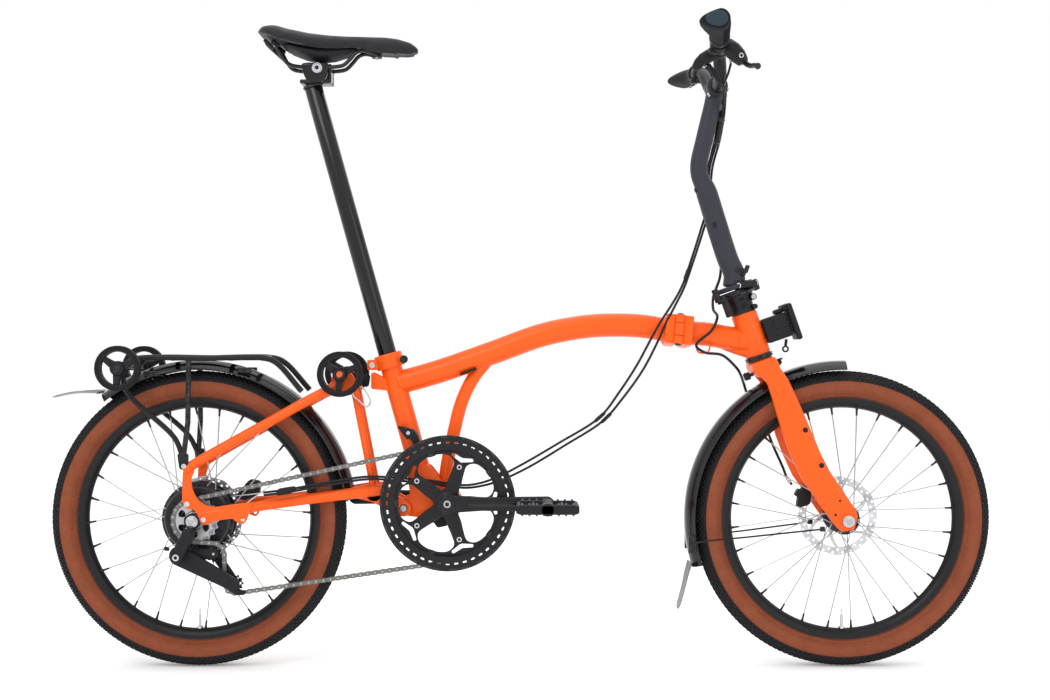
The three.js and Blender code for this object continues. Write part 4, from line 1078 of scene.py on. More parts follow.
def crank(name, side):
    ys = sorted((side * 61.5, side * 74.5))
    end = (BB[0] - side * CRANK, BB[1])
    sign = -side
    shape = [*arc(BB, 17, 90 if sign > 0 else -90, 270 if sign > 0 else 90, 20)]
    neck = BB[0] + sign * 24
    tip = arc(end, 13, -90 if sign > 0 else 90, 90 if sign > 0 else 270, 18)
    shape += [(neck, BB[1] - sign * 14), (BB[0] + sign * 60, BB[1] - sign * 11.6), *tip,
              (BB[0] + sign * 60, BB[1] + sign * 11.6), (neck, BB[1] + sign * 14)]
    arm = plate(shape, *ys, bevel=3.2, steps=4)
    face = side * 74.5
    groove = plate(link((BB[0] + sign * 40, BB[1]), 5.2, (BB[0] + sign * 140, BB[1]), 4.2),
                   min(face, face + side * 0.9), max(face, face + side * 0.9), bevel=0.4)
    cap = lathe(BB, [(4, face), (13.6, face), (13, face + side * 1.8), (11, face + side * 2.2),
                     (7, face + side * 1.4), (4, face + side * 1.4)], 48)
    core = bolt(at_y(BB, face), at_y(BB, face + side * 2), 6.4, 3)
    boss = lathe(end, [(5, face), (10.5, face), (10, face + side * 2.2), (5, face + side * 2.2)], 40)
    spindle_part = [bar(at_y(end, side * 74), at_y(end, side * 166), 5.6)]
    if side < 0:
        spindle_part.append(bar(at_y(BB, -68), at_y(BB, 71), 7.9))
    piece(name + "_looks", "crankset", "black_alloy", (BLACK, arm, cap, boss), (GLOSS, groove),
          (BRUSHED, core, *spindle_part))


def pedal(name, side):
    cx, cz = BB[0] - side * CRANK, BB[1]
    ys = sorted((side * 85, side * 175))
    mid = (ys[0] + ys[1]) / 2
    outline = rounded([(cx - 52, cz - 5), (cx - 46, cz - 8), (cx + 46, cz - 8), (cx + 52, cz - 5),
                       (cx + 52, cz + 5), (cx + 46, cz + 8), (cx - 46, cz + 8), (cx - 52, cz + 5)], 3)
    cheeks = [plate(outline, y, y + 9, bevel=1.6, steps=3) for y in (ys[0], ys[1] - 9)]
    rails = [block((cx + s * 48.5, mid, cz), (7, 88, 13), bevel=2.2, segments=3) for s in (-1, 1)]
    mids = [block((cx + s * 24, mid, cz), (5, 88, 12), bevel=1.6) for s in (-1, 1)]
    core = spindle((cx, ys[0], cz), (cx, ys[1], cz),
                   [(0, 10.6), (0.2, 11), (0.35, 8.6), (0.65, 8.6), (0.8, 11), (1, 10.6)], 36)
    web = block((cx, mid, cz), (96, 10, 8), bevel=2)
    studs = []
    for s in (-1, 1):
        for x in (-42, -30, -18, -6, 6, 18, 30, 42):
            for y in (ys[0] + 4.5, ys[1] - 4.5):
                studs.append(spindle((cx + x, y, cz + s * 7), (cx + x, y, cz + s * 10.6),
                                     [(0, 2.0), (1, 1.8)], 10, 0.4))
    piece(name + "_looks", name, "black_plastic", (PLASTIC, *cheeks, *rails, *mids, core, web),
          (GREY, *studs))


def cassette():
    wheels = []
    for r, count, y in [(41, 20, -39.8), (38, 18, -43.6), (37.4, 17, -47.6), (35.6, 16, -51.8)]:
        lights = [petal(REAR_HUB, 30 + 60 * k, [(17.5, 7), (22, 14), (27, 13), (29, 5)]) for k in range(6)]
        wheels.append(plate(teeth(REAR_HUB, r, count, 3.6), y - 0.9, y + 0.9,
                            [circle(REAR_HUB, 12.2, 32)[::-1], *lights], 0.2, 1))
    carrier = lathe(REAR_HUB, [(12.1, -55.4), (16, -55.4), (17, -54), (17, -38.6), (12.1, -38.6)], 48)
    ring = lathe(REAR_HUB, [(9, -55.8), (15.4, -55.8), (16, -55.2), (9, -54.6)], 48)
    piece("cassette_looks", "cassette", "bright_steel", (BRUSHED, *wheels), (BLACK, carrier), (STEEL, ring))


def chain_path():
    """The places of the chain's pins, a pitch apart round its four wheels."""
    wheels = [(BB, RING_PIN_R, 1), (REAR_HUB, SPROCKET_PIN_R, 1), (UPPER_PULLEY, PULLEY_PIN_R, -1),
              (LOWER_PULLEY, PULLEY_PIN_R, 1)]
    leave, arrive = [], []
    for i, (c1, r1, s1) in enumerate(wheels):
        c2, r2, s2 = wheels[(i + 1) % len(wheels)]
        d = np.array(c2, float) - np.array(c1, float)
        theta = math.atan2(d[1], d[0]) + math.asin((s1 * r1 - s2 * r2) / np.linalg.norm(d))
        leave.append(theta - math.pi / 2 * s1)
        arrive.append(theta - math.pi / 2 * s2)
    points = []
    for i, (c, r, s) in enumerate(wheels):
        start, stop = arrive[i - 1], leave[i]
        travel = (stop - start) * s % (2 * math.pi)
        steps = max(6, int(travel * r / 1.2))
        for t in np.linspace(0, travel, steps):
            a = start + s * t
            points.append(polar(c, r, a))
    points = np.array(points + points[:1])
    lengths = np.concatenate([[0], np.cumsum(np.linalg.norm(np.diff(points, axis=0), axis=1))])
    count = 2 * round(lengths[-1] / CHAIN_PITCH / 2)
    where = np.linspace(0, lengths[-1], count + 1)[:-1]
    return np.column_stack([np.interp(where, lengths, points[:, 0]),
                            np.interp(where, lengths, points[:, 1])])


def chain():
    pins = chain_path()
    half = CHAIN_PITCH / 2
    one = link((-half, 0), 4.1, (half, 0), 4.1, 8)
    side = [(x, z * (0.78 if abs(x) < half * 0.4 else 1.0)) for x, z in one]
    side = side[:8] + [(0, -3.0)] + side[8:] + [(0, 3.0)]

    def slab(y0, y1):
        points = [(x, y, z) for y in (y0, y1) for x, z in side]
        return np.array(points, float), grid(2, len(side))

    parts, rollers = [], []
    for i, pin in enumerate(pins):
        other = pins[(i + 1) % len(pins)]
        place, way = (pin + other) / 2, (other - pin) / np.linalg.norm(other - pin)
        turn = Matrix(((way[0], 0, -way[1]), (0, 1, 0), (way[1], 0, way[0]))).to_4x4()
        matrix = Matrix.Translation(at_y(place, CHAIN_Y)) @ turn
        inner, outer = (1.7, 2.5) if i % 2 else (2.6, 3.35)
        for s in (-1, 1):
            parts.append(moved(slab(s * inner, s * outer), matrix))
        rollers.append(spindle(at_y(pin, CHAIN_Y - 1.8), at_y(pin, CHAIN_Y + 1.8), 3.7, 12, 0.2))
        rollers.append(spindle(at_y(pin, CHAIN_Y - 3.5), at_y(pin, CHAIN_Y + 3.5), 1.7, 8, 0.2))
    piece("chain_looks", "rear_frame", "chain_steel", (CHAIN, *parts), (BRUSHED, *rollers),
          blend=("main_frame", "rear_frame", (-160, 0, 298), (-285, 0, 287)))


def pulley(name, centre):
    windows = [circle(polar(centre, 9.4, a), 2.3, 12)[::-1] for a in turns(6)]
    wheel = plate(teeth(centre, 15.4, 11, 3.0), CHAIN_Y - 1.3, CHAIN_Y + 1.3,
                  [circle(centre, 3.4, 20)[::-1], *windows], 0.3, 1)
    hub = lathe(centre, [(3.4, CHAIN_Y - 3.8), (6, CHAIN_Y - 3.8), (6.4, CHAIN_Y - 3), (6.4, CHAIN_Y + 3),
                         (6, CHAIN_Y + 3.8), (3.4, CHAIN_Y + 3.8)], 32)
    piece(name + "_looks", name, "black_plastic", (PLASTIC, wheel), (GREY, hub))


def derailleur_cage():
    arm = plate(link(CAGE_PIVOT, 17, LOWER_PULLEY, 11), -73, -62, bevel=3.4, steps=4)
    inner = plate(link(UPPER_PULLEY, 8, LOWER_PULLEY, 8), -47.5, -46, bevel=0.4)
    back = plate(link(CAGE_PIVOT, 9, UPPER_PULLEY, 9), -62, -58, bevel=1)
    guard = plate(rounded([(-502, 139), (-488, 130), (-474, 130), (-470, 136), (-482, 139), (-492, 146)],
                          3), -58, -47, bevel=1.2)
    pins = merged(*[bar(at_y(c, -62.5), at_y(c, -46), 2.8) for c in (UPPER_PULLEY, LOWER_PULLEY)])
    piece("derailleur_cage_looks", "derailleur_cage", "black_alloy", (PLASTIC, arm, back, inner, guard),
          (BRUSHED, pins))


def derailleur_body():
    hanger = plate(link((-563, 238), 10, CAGE_PIVOT, 10.5), -95, -76, bevel=3.2, steps=4)
    mount = block((-565, -82, 236), (17, 27, 19), bevel=3, segments=3)
    neck = spindle(at_y(CAGE_PIVOT, -78), at_y(CAGE_PIVOT, -61.5), [(0, 9), (1, 8)], 32)
    cap = bolt(at_y(CAGE_PIVOT, -95), at_y(CAGE_PIVOT, -97), 5.6, 3)
    stop_screw = spindle((-596, -86, 212), (-604, -86, 214), [(0, 3.2), (1, 3.6)], 16)
    piece("derailleur_body_looks", "rear_frame", "black_alloy", (PLASTIC, hanger, mount, neck, stop_screw),
          (STEEL, cap))


chainring()
crank("right_crank", -1)
crank("left_crank", 1)
pedal("right_pedal", -1)
pedal("left_pedal", 1)
cassette()
chain()
pulley("upper_pulley", UPPER_PULLEY)
pulley("lower_pulley", LOWER_PULLEY)
derailleur_cage()
derailleur_body()


# ---------------------------------------------------------------- front frame, fork and stem
STEER_WAY = -joint_way("steering")
AHEAD_WAY = Vector((STEER_WAY.z, 0, -STEER_WAY.x))
HEAD_TOP = Vector((389.2, 0, 613.8))
STEM_Z = 655
STEM_PIN_WAY = joint_way("stem_fold")
STEM_SIDE_WAY = STEM_PIN_WAY.cross(STEER_WAY).normalized()
STEM_AXES = (STEM_SIDE_WAY, STEM_PIN_WAY, STEER_WAY)


def on_steer(z):
    """The place on the steering line at height z."""
    return HEAD_TOP + STEER_WAY * ((z - HEAD_TOP.z) / STEER_WAY.z)


def stem_at(side, pin, up):
    """A place at the stem hinge, along its three axes."""
    return on_steer(STEM_Z) + STEM_SIDE_WAY * side + STEM_PIN_WAY * pin + STEER_WAY * up


def front_frame():
    tube = sweep(xz([(292, 580), (330, 577), (360, 571.5), (398, 566)]), 20.8, 56, 8)
    head = lathe_along(on_steer(542), on_steer(613.8),
                       [(0, 15.3), (0, 21.8), (0.02, 22.5), (0.98, 22.5), (1, 21.8), (1, 15.3)], 64)
    gusset = sweep(xz([(352, 556), (378, 551), (402, 548)]), lambda t: 5 + 9 * t, 32, 8)
    knuckles = merged(knuckle(-25.5, -KNUCKLE_SPLIT), knuckle(KNUCKLE_SPLIT, 25.5))
    beads = merged(weld((378, 0, 569), (40, 0, -6), 21), weld((318, 0, 578), (40, 0, -4), 21, 1.2))
    loop = sweep([(306, -20, 562), (305, -22, 552), (308, -24, 546), (322, -24, 545.5), (327, -22, 552),
                  (328, -19, 561)], 1.5, 12, 8)
    piece("front_frame_looks", "front_frame", "frame_paint",
          (ORANGE, tube, head, gusset, hinge_block(1), knuckles, beads, loop))


def carrier_block():
    way, up = AHEAD_WAY, STEER_WAY
    axes = (way, (0, 1, 0), up)
    plate_at = on_steer(576) + way * 72
    body = block(on_steer(574) + way * 45, (44, 40, 43), axes, 3, 3)
    front = block(plate_at + way * 3.4 - up, (10, 55, 66), axes, 4, 4)
    rim_up = block(plate_at - way * 4 + up * 27, (10, 46, 10), axes, 3, 3)
    catch = block(on_steer(574) + way * 60 + up * 26, (22, 24, 8), axes, 3, 3)
    slots = merged(*[block(plate_at + way * 8.2 + up * z, (1.4, 36, 4), axes, 0.6)
                     for z in (-18, -6, 6, 18)])
    ribs = both(block(on_steer(574) + way * 47 + Vector((0, 20.2, 0)), (36, 1.6, 5), axes, 0.6))
    hook = merged(sweep([(464, 0, 569), (463, 0, 563), (462.4, 0, 557.5)], 2.6, 16, 4),
                  lathe((462.2, 551.9), [(3.2, -2.4), (5.2, -2.4), (6, -1.4), (6, 1.4), (5.2, 2.4),
                                         (3.2, 2.4)], 32))
    screws = both(merged(*[bolt(on_steer(574 + z) + way * 38 + Vector((0, 20, 0)),
                                on_steer(574 + z) + way * 38 + Vector((0, 22, 0)), 3.2, 2)
                           for z in (-12, 12)]))
    piece("carrier_block_looks", "front_frame", "black_plastic",
          (PLASTIC, body, front, rim_up, catch, ribs), (RUBBER, slots), (BLACK, hook, screws))


def lower_headset():
    race = lathe_along(on_steer(533.8), on_steer(541.3),
                       [(0, 15.3), (0, 23.6), (0.12, 25), (0.46, 25), (0.5, 23.4), (0.58, 23.4),
                        (0.62, 25.2), (0.92, 25.2), (1, 23.6), (1, 15.3)], 64)
    piece("lower_headset_looks", "front_frame", "gloss_black", (GLOSS, race))


BLADE_BACK = [(400, 522), (408, 510), (424, 492), (431, 470), (441, 435), (452, 398), (466, 362),
              (482, 328), (512, 285), (534, 254), (541, 246), (549, 239)]
BLADE_FRONT = [(440, 530), (447, 519), (460, 500), (475, 468), (489, 435), (503, 401), (515, 372),
               (530, 342), (556, 303), (574, 276), (577, 264), (571, 243)]
BLADE_HALF_THICK = [8] * (len(BLADE_BACK) - 1) + [7]
FORK_SPLAY = 15 / 250                   # how far a blade leans outwards for its height
CROWN_Z = 510                           # height from which the blades lean


def fork():
    """Two broad flat blades from one crown, each with rounded edges and splayed out towards the axle."""
    rings = []
    for (xa, za), (xb, zb), half in zip(BLADE_BACK, BLADE_FRONT, BLADE_HALF_THICK):
        centre = np.array([(xa + xb) / 2, 39 + FORK_SPLAY * (CROWN_Z - (za + zb) / 2), (za + zb) / 2])
        reach = np.array([xb - xa, 0, zb - za]) / 2
        ring = []
        for a in turns(36):
            c, s = math.cos(a), math.sin(a)
            c, s = math.copysign(abs(c) ** 0.55, c), math.copysign(abs(s) ** 0.55, s)
            ring.append(tuple(centre + reach * c + np.array([0, half * s, 0])))
        rings.append(ring)
    leg = loft(rings)
    crown = plate(rounded([(397, 525), (437, 539.5), (448, 521), (426, 500), (404, 506)], 6), -46, 46,
                  bevel=5.5, steps=5)
    neck = lathe_along(on_steer(524), on_steer(533.2),
                       [(0, 10), (0, 22.4), (0.85, 22.4), (1, 21.4), (1, 10)], 56)
    steerer = bar(on_steer(525), on_steer(648), 14.3, sides=36)
    plugs, holes = [], []
    for x, z, r in [(488, 412.5, 4.6), (515, 352, 4.6)]:
        y = 47 + FORK_SPLAY * (CROWN_Z - z)
        plugs.append(spindle((x, y - 0.8, z), (x, y + 1.4, z), [(0, r), (1, r - 0.8)], 28))
    for x, z in [(546, 292), (538, 268)]:
        y = 47 + FORK_SPLAY * (CROWN_Z - z)
        holes.append(spindle((x, y - 0.6, z), (x, y + 0.5, z), [(0, 2.2), (1, 2.0)], 16, 0.2))
    dome = spindle((447, 0, 527), (455, 0, 531), [(0, 6), (0.6, 5.4), (1, 3.4)], 28)
    clip = merged(block((393, -14, 504), (11, 12, 13), leaning(0.94, 0.33), 2),
                  sweep([(404, -12, 508), (393, -13, 504)], 3, 12, 2))
    screw = bolt((386, -16, 510), (384.5, -19, 511), 3, 2)
    piece("fork_looks", "fork", "frame_paint", (ORANGE, leg, mirrored(leg), crown, neck),
          (BRUSHED, steerer), (PLASTIC, both(merged(*plugs, *holes)), dome, clip), (STEEL, screw))


def stem_base():
    column = lathe_along(on_steer(615), on_steer(648),
                         [(0, 14.8), (0, 20.6), (0.04, 21.4), (0.3, 21), (0.55, 22), (0.8, 26), (1, 30),
                          (1, 14.8)], 64)
    flange = block(stem_at(2, 0, -6), (66, 44, 10.6), STEM_AXES, 5, 4)
    ears = [block(stem_at(38, pin, -5), (12, 10, 16), STEM_AXES, 3, 3) for pin in (-17, 17)]
    eyes = [spindle(stem_at(38, pin - 5, 0), stem_at(38, pin + 5, 0), 7, 32, 0.8) for pin in (-17, 17)]
    pin_part = spindle(stem_at(38, -23.4, 0), stem_at(38, 23.4, 0),
                       [(0, 4.6), (0.03, 4.6), (0.035, 3), (0.965, 3), (0.97, 4.6), (1, 4.6)], 28, 0.4)
    pockets = merged(*[spindle(on_steer(z) + Vector((2, y0, 0)), on_steer(z) + Vector((2, y1, 0)), 5.2, 28)
                       for z, y0, y1 in [(640, -20, -25.4), (627, -18, -21.9)]])
    clamp = merged(*[spindle((x, y, z), (x, 8, z), r, 28)
                     for x, y, z, r in [(404, -20, 643, 5.6), (407, -18, 626, 4.6)]])
    screw = bolt((404, -20, 643), (404, -22, 643), 4.2, 2.4)
    ring = lathe_along(on_steer(613.9), on_steer(617),
                       [(0, 15), (0, 20.6), (0.5, 21.4), (1, 20.6), (1, 15)], 56)
    piece("stem_base_looks", "fork", "black_alloy", (BLACK, column, flange, *ears, *eyes, clamp, ring),
          (RUBBER, pockets), (BRUSHED, pin_part), (STEEL, screw))


def stem_latch():
    """The clamp behind the stem hinge: two offset blocks, the bridge between them and a round boss."""
    body = block(stem_at(-38.2, 3, -24), (6.4, 13, 34), STEM_AXES, 2.4, 3)
    upper = block(stem_at(-41.4, 13, 1), (5.4, 12, 24), STEM_AXES, 1.8, 3)
    bridge = block(stem_at(-38.6, 7, -9), (5.4, 20, 12), STEM_AXES, 1.8, 3)
    hub = spindle(stem_at(-33, 3, -10), stem_at(-43, 3, -10), [(0, 6), (1, 5)], 32, 1.2)
    piece("stem_latch_looks", "stem_latch", "black_alloy", (BLACK, body, upper, bridge, hub))


def handlepost():
    flange = block(stem_at(0, 0, 5.2), (60, 44, 8.6), STEM_AXES, 4, 4)
    ear = block(stem_at(33, 0, 4.6), (16, 21, 8.6), STEM_AXES, 3, 3)
    eye = spindle(stem_at(38, -10.6, 0), stem_at(38, 10.6, 0), 7, 32)
    post_line = [stem_at(0, 0, 6), (372, 0, 684), (362, 0, 707), (340, 0, 775), (322, 0, 832),
                 (313, 0, 852), (311, 0, 873), (321, 0, 920), (334, 0, 974), (339, 0, 998)]

    def post_r(t):
        narrowing = min(1, max(0, (t - 0.42) / 0.1))
        return 18.6 - 3.4 * narrowing if t > 0.08 else 20 - 17 * t

    post = sweep([tuple(p) for p in post_line], post_r, 56, 10)
    knobs = merged(spindle((309, -4, 830), (303, -4, 828), [(0, 5), (1, 4)], 24),
                   spindle((336, -14, 767), (335, -19.6, 767), [(0, 5.4), (1, 4.6)], 24))
    catch = merged(block((381, -10, 687), (22, 18, 13), leaning(0.94, -0.33), 3, 3),
                   block((393, -10, 691), (7, 12, 14), leaning(0.94, -0.33), 2, 3),
                   spindle((384, -19, 688), (384, -21, 688), [(0, 5), (1, 4)], 24))
    hex_bolt = spindle((377, -20, 661.5), (377, -24.5, 661.5), [(0, 9.5), (0.5, 9), (1, 7)], 32, 1.0)
    hex_core = bolt((377, -24, 661.5), (377, -26.4, 661.5), 4.6, 2.6)
    bridge = merged(sweep([(377, -19, 661), (392, -17, 664), (404, -12, 665)], 7.6, 24, 6),
                    spindle((404, -21, 665.5), (404, 4, 665.5), 6.2, 28))
    clamp = lathe_along((341, -24, 1008), (341, 24, 1008),
                        [(0, 11.4), (0, 16.6), (0.04, 18), (0.3, 18), (0.31, 17.2), (0.69, 17.2), (0.7, 18),
                         (0.96, 18), (1, 16.6), (1, 11.4)], 64)
    cap_bolts = merged(*[bolt((357, y, 1004), (361, y, 1003), 4, 3) for y in (-17, 17)],
                       *[bolt((328, y, 994), (325, y, 992), 4, 3) for y in (-17, 17)])
    sleeve = merged(sweep([(352, 2, 968), (345, 6, 930), (341, 10, 908)], 5.2, 20, 6),
                    block((350, 4, 953), (12, 15, 10), leaning(0.97, 0.2), 2),
                    block((343, 8, 915), (11, 15, 9), leaning(0.97, 0.2), 2))
    piece("handlepost_looks", "handlepost", "dark_post", (POST, flange, ear, eye, post, clamp),
          (BLACK, knobs, catch, hex_bolt, bridge, sleeve), (STEEL, hex_core, cap_bolts))


front_frame()
carrier_block()
lower_headset()
fork()
stem_base()
stem_latch()
handlepost()


# ---------------------------------------------------------------- handlebar and its controls
BAR_HALF = 290
HALF_BAR = [(341, 40, 1008), (339, 75, 1018), (333, 112, 1046), (328, 150, 1061), (322, 205, 1064),
            (314, BAR_HALF - 4, 1067)]
LEVER_PIVOT = Vector((364, 0, 1036))


def other_side(points):
    return [(x, -y, z) for x, y, z in points]


def handlebar():
    line = [*other_side(HALF_BAR)[::-1], (341, 0, 1008), *HALF_BAR]
    bar_part = sweep(line, lambda t: 11 + 1.2 * math.exp(-((t - 0.5) / 0.06) ** 2), 40, 10)
    piece("handlebar_looks", "handlepost", "black_alloy", (BLACK, bar_part))


def grip(name, side):
    """A palm-shaped grip: round at its inner end, widening backwards to a wing at its outer end."""
    start, end = Vector((326.5, 168, 1062.2)), Vector((314, BAR_HALF, 1067.1))
    steps = [(0.0, 13.5, 13.5, 13.5), (0.02, 15.6, 15.6, 15.6), (0.12, 16.4, 16.4, 16.4),
             (0.14, 15.2, 15.2, 15.2), (0.3, 15.4, 16.5, 15.0), (0.45, 15.8, 22, 15.4),
             (0.6, 16.0, 28, 16.0), (0.75, 16.0, 32.5, 16.6), (0.9, 16.0, 34, 17.0), (0.97, 15.6, 33, 16.4),
             (0.985, 14.4, 31, 15.2)]
    rings = []
    sides = 44
    for t, ahead, behind, high in steps:
        centre = start.lerp(end, t)
        ring = []
        lift = 3.5 * min(1, max(0, (t - 0.3) / 0.5))
        for a in turns(sides):
            c, s = math.cos(a), math.sin(a)
            droop = -0.16 * (behind - 15) * max(0, -c)
            thick = high * (1 - 0.3 * max(0, -c) * max(0, behind - 15) / 19)
            ring.append((centre.x + (ahead if c > 0 else behind) * c, centre.y * side,
                         centre.z + lift + thick * s + droop))
        rings.append(ring)
    body = loft(rings)
    at_ring = start.lerp(end, 0.06)
    lock = lathe_along((at_ring.x, side * (at_ring.y - 6), at_ring.z - 0.2),
                       (at_ring.x, side * (at_ring.y + 5), at_ring.z + 0.2),
                       [(0, 12), (0, 16.4), (0.12, 17), (0.88, 17), (1, 16.4), (1, 12)], 48)
    cap_ring = start.lerp(end, 0.985)
    cap_line = []
    for scale, out in [(1.0, 0.0), (1.0, 1.2), (0.93, 2.0)]:
        ring = []
        for a in turns(sides):
            c, s = math.cos(a), math.sin(a)
            ring.append((cap_ring.x - 3 + (14.5 if c > 0 else 21) * c * scale, side * (cap_ring.y + out),
                         cap_ring.z + 3.6 + 12.4 * s * scale))
        cap_line.append(ring)
    cap = loft(cap_line)
    ridges = []
    for t in np.linspace(0.2, 0.84, 13):
        centre = start.lerp(end, t)
        ridges.append([(centre.x + 15.9 * math.cos(a), side * centre.y, centre.z + 15.3 * math.sin(a))
                       for a in np.linspace(-1.2, 1.3, 14)])
    ribs = merged(*[sweep(r, 0.8, 6, 0) for r in ridges])
    piece(name + "_looks", "handlepost", "rubber", (RUBBER, body, ribs), (BLACK, lock), (CAP, cap))


def shifter():
    """The gear shifter beside the right lever: its pod with a paddle, and the nut its cable leaves by."""
    pod = merged(block((312, -121, 1040), (30, 24, 21), leaning(0.85, 0.53), 6, 4),
                 spindle((330, -136, 1052), (330, -120, 1051), 15.4, 40, 1.2),
                 plate(rounded([(300, 1044), (291, 1036), (285, 1023), (290, 1016), (300, 1019),
                                (309, 1030)], 5), -130, -119, bevel=2.4, steps=3))
    paddle = plate(rounded([(316, 1030), (330, 1010), (337, 996), (331, 993), (321, 1008), (309, 1026)], 4),
                   -125, -120, bevel=1.8, steps=3)
    nut = spindle((303, -110, 1034), (310, -96, 1028), [(0, 5), (0.5, 4.4), (0.55, 3.2), (1, 3)], 24)
    return [(PLASTIC, pod, paddle), (STEEL, nut)]


def lever_body(name, side):
    """The brake lever's clamp and reservoir; the right one carries the gear shifter too."""
    band = lathe_along((331.5, side * 135, 1054.4), (329, side * 155, 1060),
                       [(0, 11.4), (0, 16), (0.1, 17), (0.9, 17), (1, 16), (1, 11.4)], 48)
    hood = loft([[(x + r * math.cos(a), side * 145 + w * math.sin(a), z + r * 0.35 * math.cos(a))
                  for a in turns(28)] for x, z, r, w in [(333, 1066, 4, 6), (338, 1061, 12, 11),
                                                         (347, 1052, 15, 12.5), (356, 1041, 15, 12.5),
                                                         (364, 1031, 12, 11), (369, 1024, 8, 9)]])
    clamp = block((318, side * 145, 1045), (14, 16, 12), bevel=3, segments=3)
    fork_ears = [plate(link((350, 1048), 10, (LEVER_PIVOT.x, LEVER_PIVOT.z), 8),
                       *sorted((side * y0, side * y1)), bevel=1.4, steps=3)
                 for y0, y1 in [(132.6, 138.4), (151.6, 157)]]
    pivot = merged(*[bolt((LEVER_PIVOT.x, side * y, LEVER_PIVOT.z),
                          (LEVER_PIVOT.x, side * (y + d), LEVER_PIVOT.z), 4.2, 2.4)
                     for y, d in [(157, 1.6), (132.6, -1.6)]])
    ferrule = spindle((352, side * 131, 1036), (353, side * 114, 1033.5),
                      [(0, 5), (0.5, 4.4), (0.55, 3.4), (1, 3)], 24)
    parts = [(BLACK, band, hood, clamp, *fork_ears), (STEEL, pivot, ferrule)]
    if side < 0:
        parts += shifter()
    piece(name + "_looks", "handlepost", "black_plastic", *parts)


def brake_lever(name, side):
    p, q = LEVER_PIVOT.x, LEVER_PIVOT.z
    root = spindle((p, side * 140, q), (p, side * 150, q), 7.6, 32)
    line = [(p + 2, side * 146, q - 4), (p + 9, side * 156, q - 14), (p + 13, side * 180, q - 21),
            (p + 14, side * 212, q - 26), (377, side * 234, 1006), (379, side * 243, 1003)]
    blade = sweep(line, lambda t: 4.6 - 0.6 * t + 1.4 * max(0, (t - 0.93) / 0.07), 20, 10)
    piece(name + "_looks", name, "dark_post", (BLACK, root, blade))


def cable_collector():
    """The block under the bar clamp that gathers the cables."""
    collector = merged(block((352, 6, 984), (13, 18, 10), bevel=2.4, segments=3),
                       block((356, 8, 998), (9, 14, 14), bevel=2.4, segments=3))
    piece("cable_collector", "handlepost", "black_plastic", (PLASTIC, collector))


handlebar()
grip("right_grip", -1)
grip("left_grip", 1)
lever_body("right_lever_body", -1)
lever_body("left_lever_body", 1)
brake_lever("right_brake_lever", -1)
brake_lever("left_brake_lever", 1)
cable_collector()


# ---------------------------------------------------------------- seat
POST_TOP = on_seat(-496)
POST_LOW = on_seat(120)
CLAMP_BOLT = (-353, 1038.5)
SADDLE_VOXEL = 3.6                      # side of the grid that the cover is remeshed on
CLOTH_PRESSURE = 4
CLOTH_FRAMES = 14
CLOTH_TRAVEL = 1.6                      # the farthest that the cloth may move a point of the cover
SEAM_SHARE, SEAM_DEEP = 0.42, 1.1       # how far up the nose's side its seam runs, and how deep
HEM_SHARE, HEM_DEEP = 0.1, 0.9          # the same for the hem round the tail


def seatpost():
    tube = lathe_along(POST_TOP, POST_LOW,
                       [(0, 13.6), (0, 15.2), (0.002, 15.9), (0.998, 15.9), (1, 15.2), (1, 13.6)], 64)
    head = spindle(POST_TOP + SEAT_WAY * 14, POST_TOP - SEAT_WAY * 8,
                   [(0, 15.9), (0.3, 15.7), (0.62, 13.4), (1, 12.8)], 48)
    ring = lathe_along(POST_TOP - SEAT_WAY, POST_TOP - SEAT_WAY * 6,
                       [(0, 12), (0, 17), (0.5, 18), (1, 17), (1, 12)], 48)
    marks = merged(*[lathe_along(on_seat(90 - k * 5), on_seat(90.8 - k * 5),
                                 [(0, 15), (0, 16.05), (1, 16.05), (1, 15)], 48) for k in range(3)])
    piece("seatpost_looks", "seat", "gloss_black", (GLOSS, tube), (BLACK, head, ring), (GREY, marks))


SADDLE_TOP = [(-458, 1103), (-445, 1111), (-424, 1110), (-402, 1103.4), (-368, 1097.4), (-335, 1095),
              (-300, 1094.4), (-268, 1095), (-235, 1095.4), (-212, 1093.6), (-192, 1088), (-181, 1080),
              (-176, 1073)]
SADDLE_SKIRT = [(-458, 1099), (-452, 1095), (-440, 1088), (-424, 1081), (-402, 1073), (-380, 1068.5),
                (-357, 1065.5), (-335, 1065), (-312, 1067), (-294, 1069.5), (-280, 1070), (-268, 1063),
                (-250, 1060), (-224, 1059), (-199, 1058.6), (-186, 1062), (-176, 1069)]
SADDLE_HALF = [(-458, 30), (-450, 52), (-438, 66), (-412, 74), (-385, 70), (-355, 57), (-322, 41),
               (-290, 31), (-255, 26), (-222, 23), (-195, 19), (-182, 13), (-176, 6)]


def saddle():
    """The padded cover, with a raised tail, a long nose and a relief groove."""
    around = 48
    rings = []
    for x in np.concatenate([np.linspace(-457.5, -440, 7), np.linspace(-436, -192, 52),
                             np.linspace(-189, -176.5, 7)]):
        top = np.interp(x, *np.array(SADDLE_TOP).T)
        low = np.interp(x, *np.array(SADDLE_SKIRT).T)
        half = np.interp(x, *np.array(SADDLE_HALF).T)
        ring = []
        for a in turns(around):
            c, s = math.cos(a), math.sin(a)
            y = half * math.copysign(abs(c) ** (0.62 if s > 0 else 0.5), c)
            if s > 0:
                z = low + (top - low) * s ** 0.62
                z -= 2.6 * math.exp(-(y / 9) ** 2) * (1 if -400 < x < -230 else 0.2)
            else:
                z = low + min(9, (top - low) * 0.3) * abs(s) ** 0.8
            ring.append((x, y, z))
        rings.append(ring)
    shape = loft(rings)
    swell(piece("saddle_looks", "seat", "saddle_cover", (COVER, shape)))


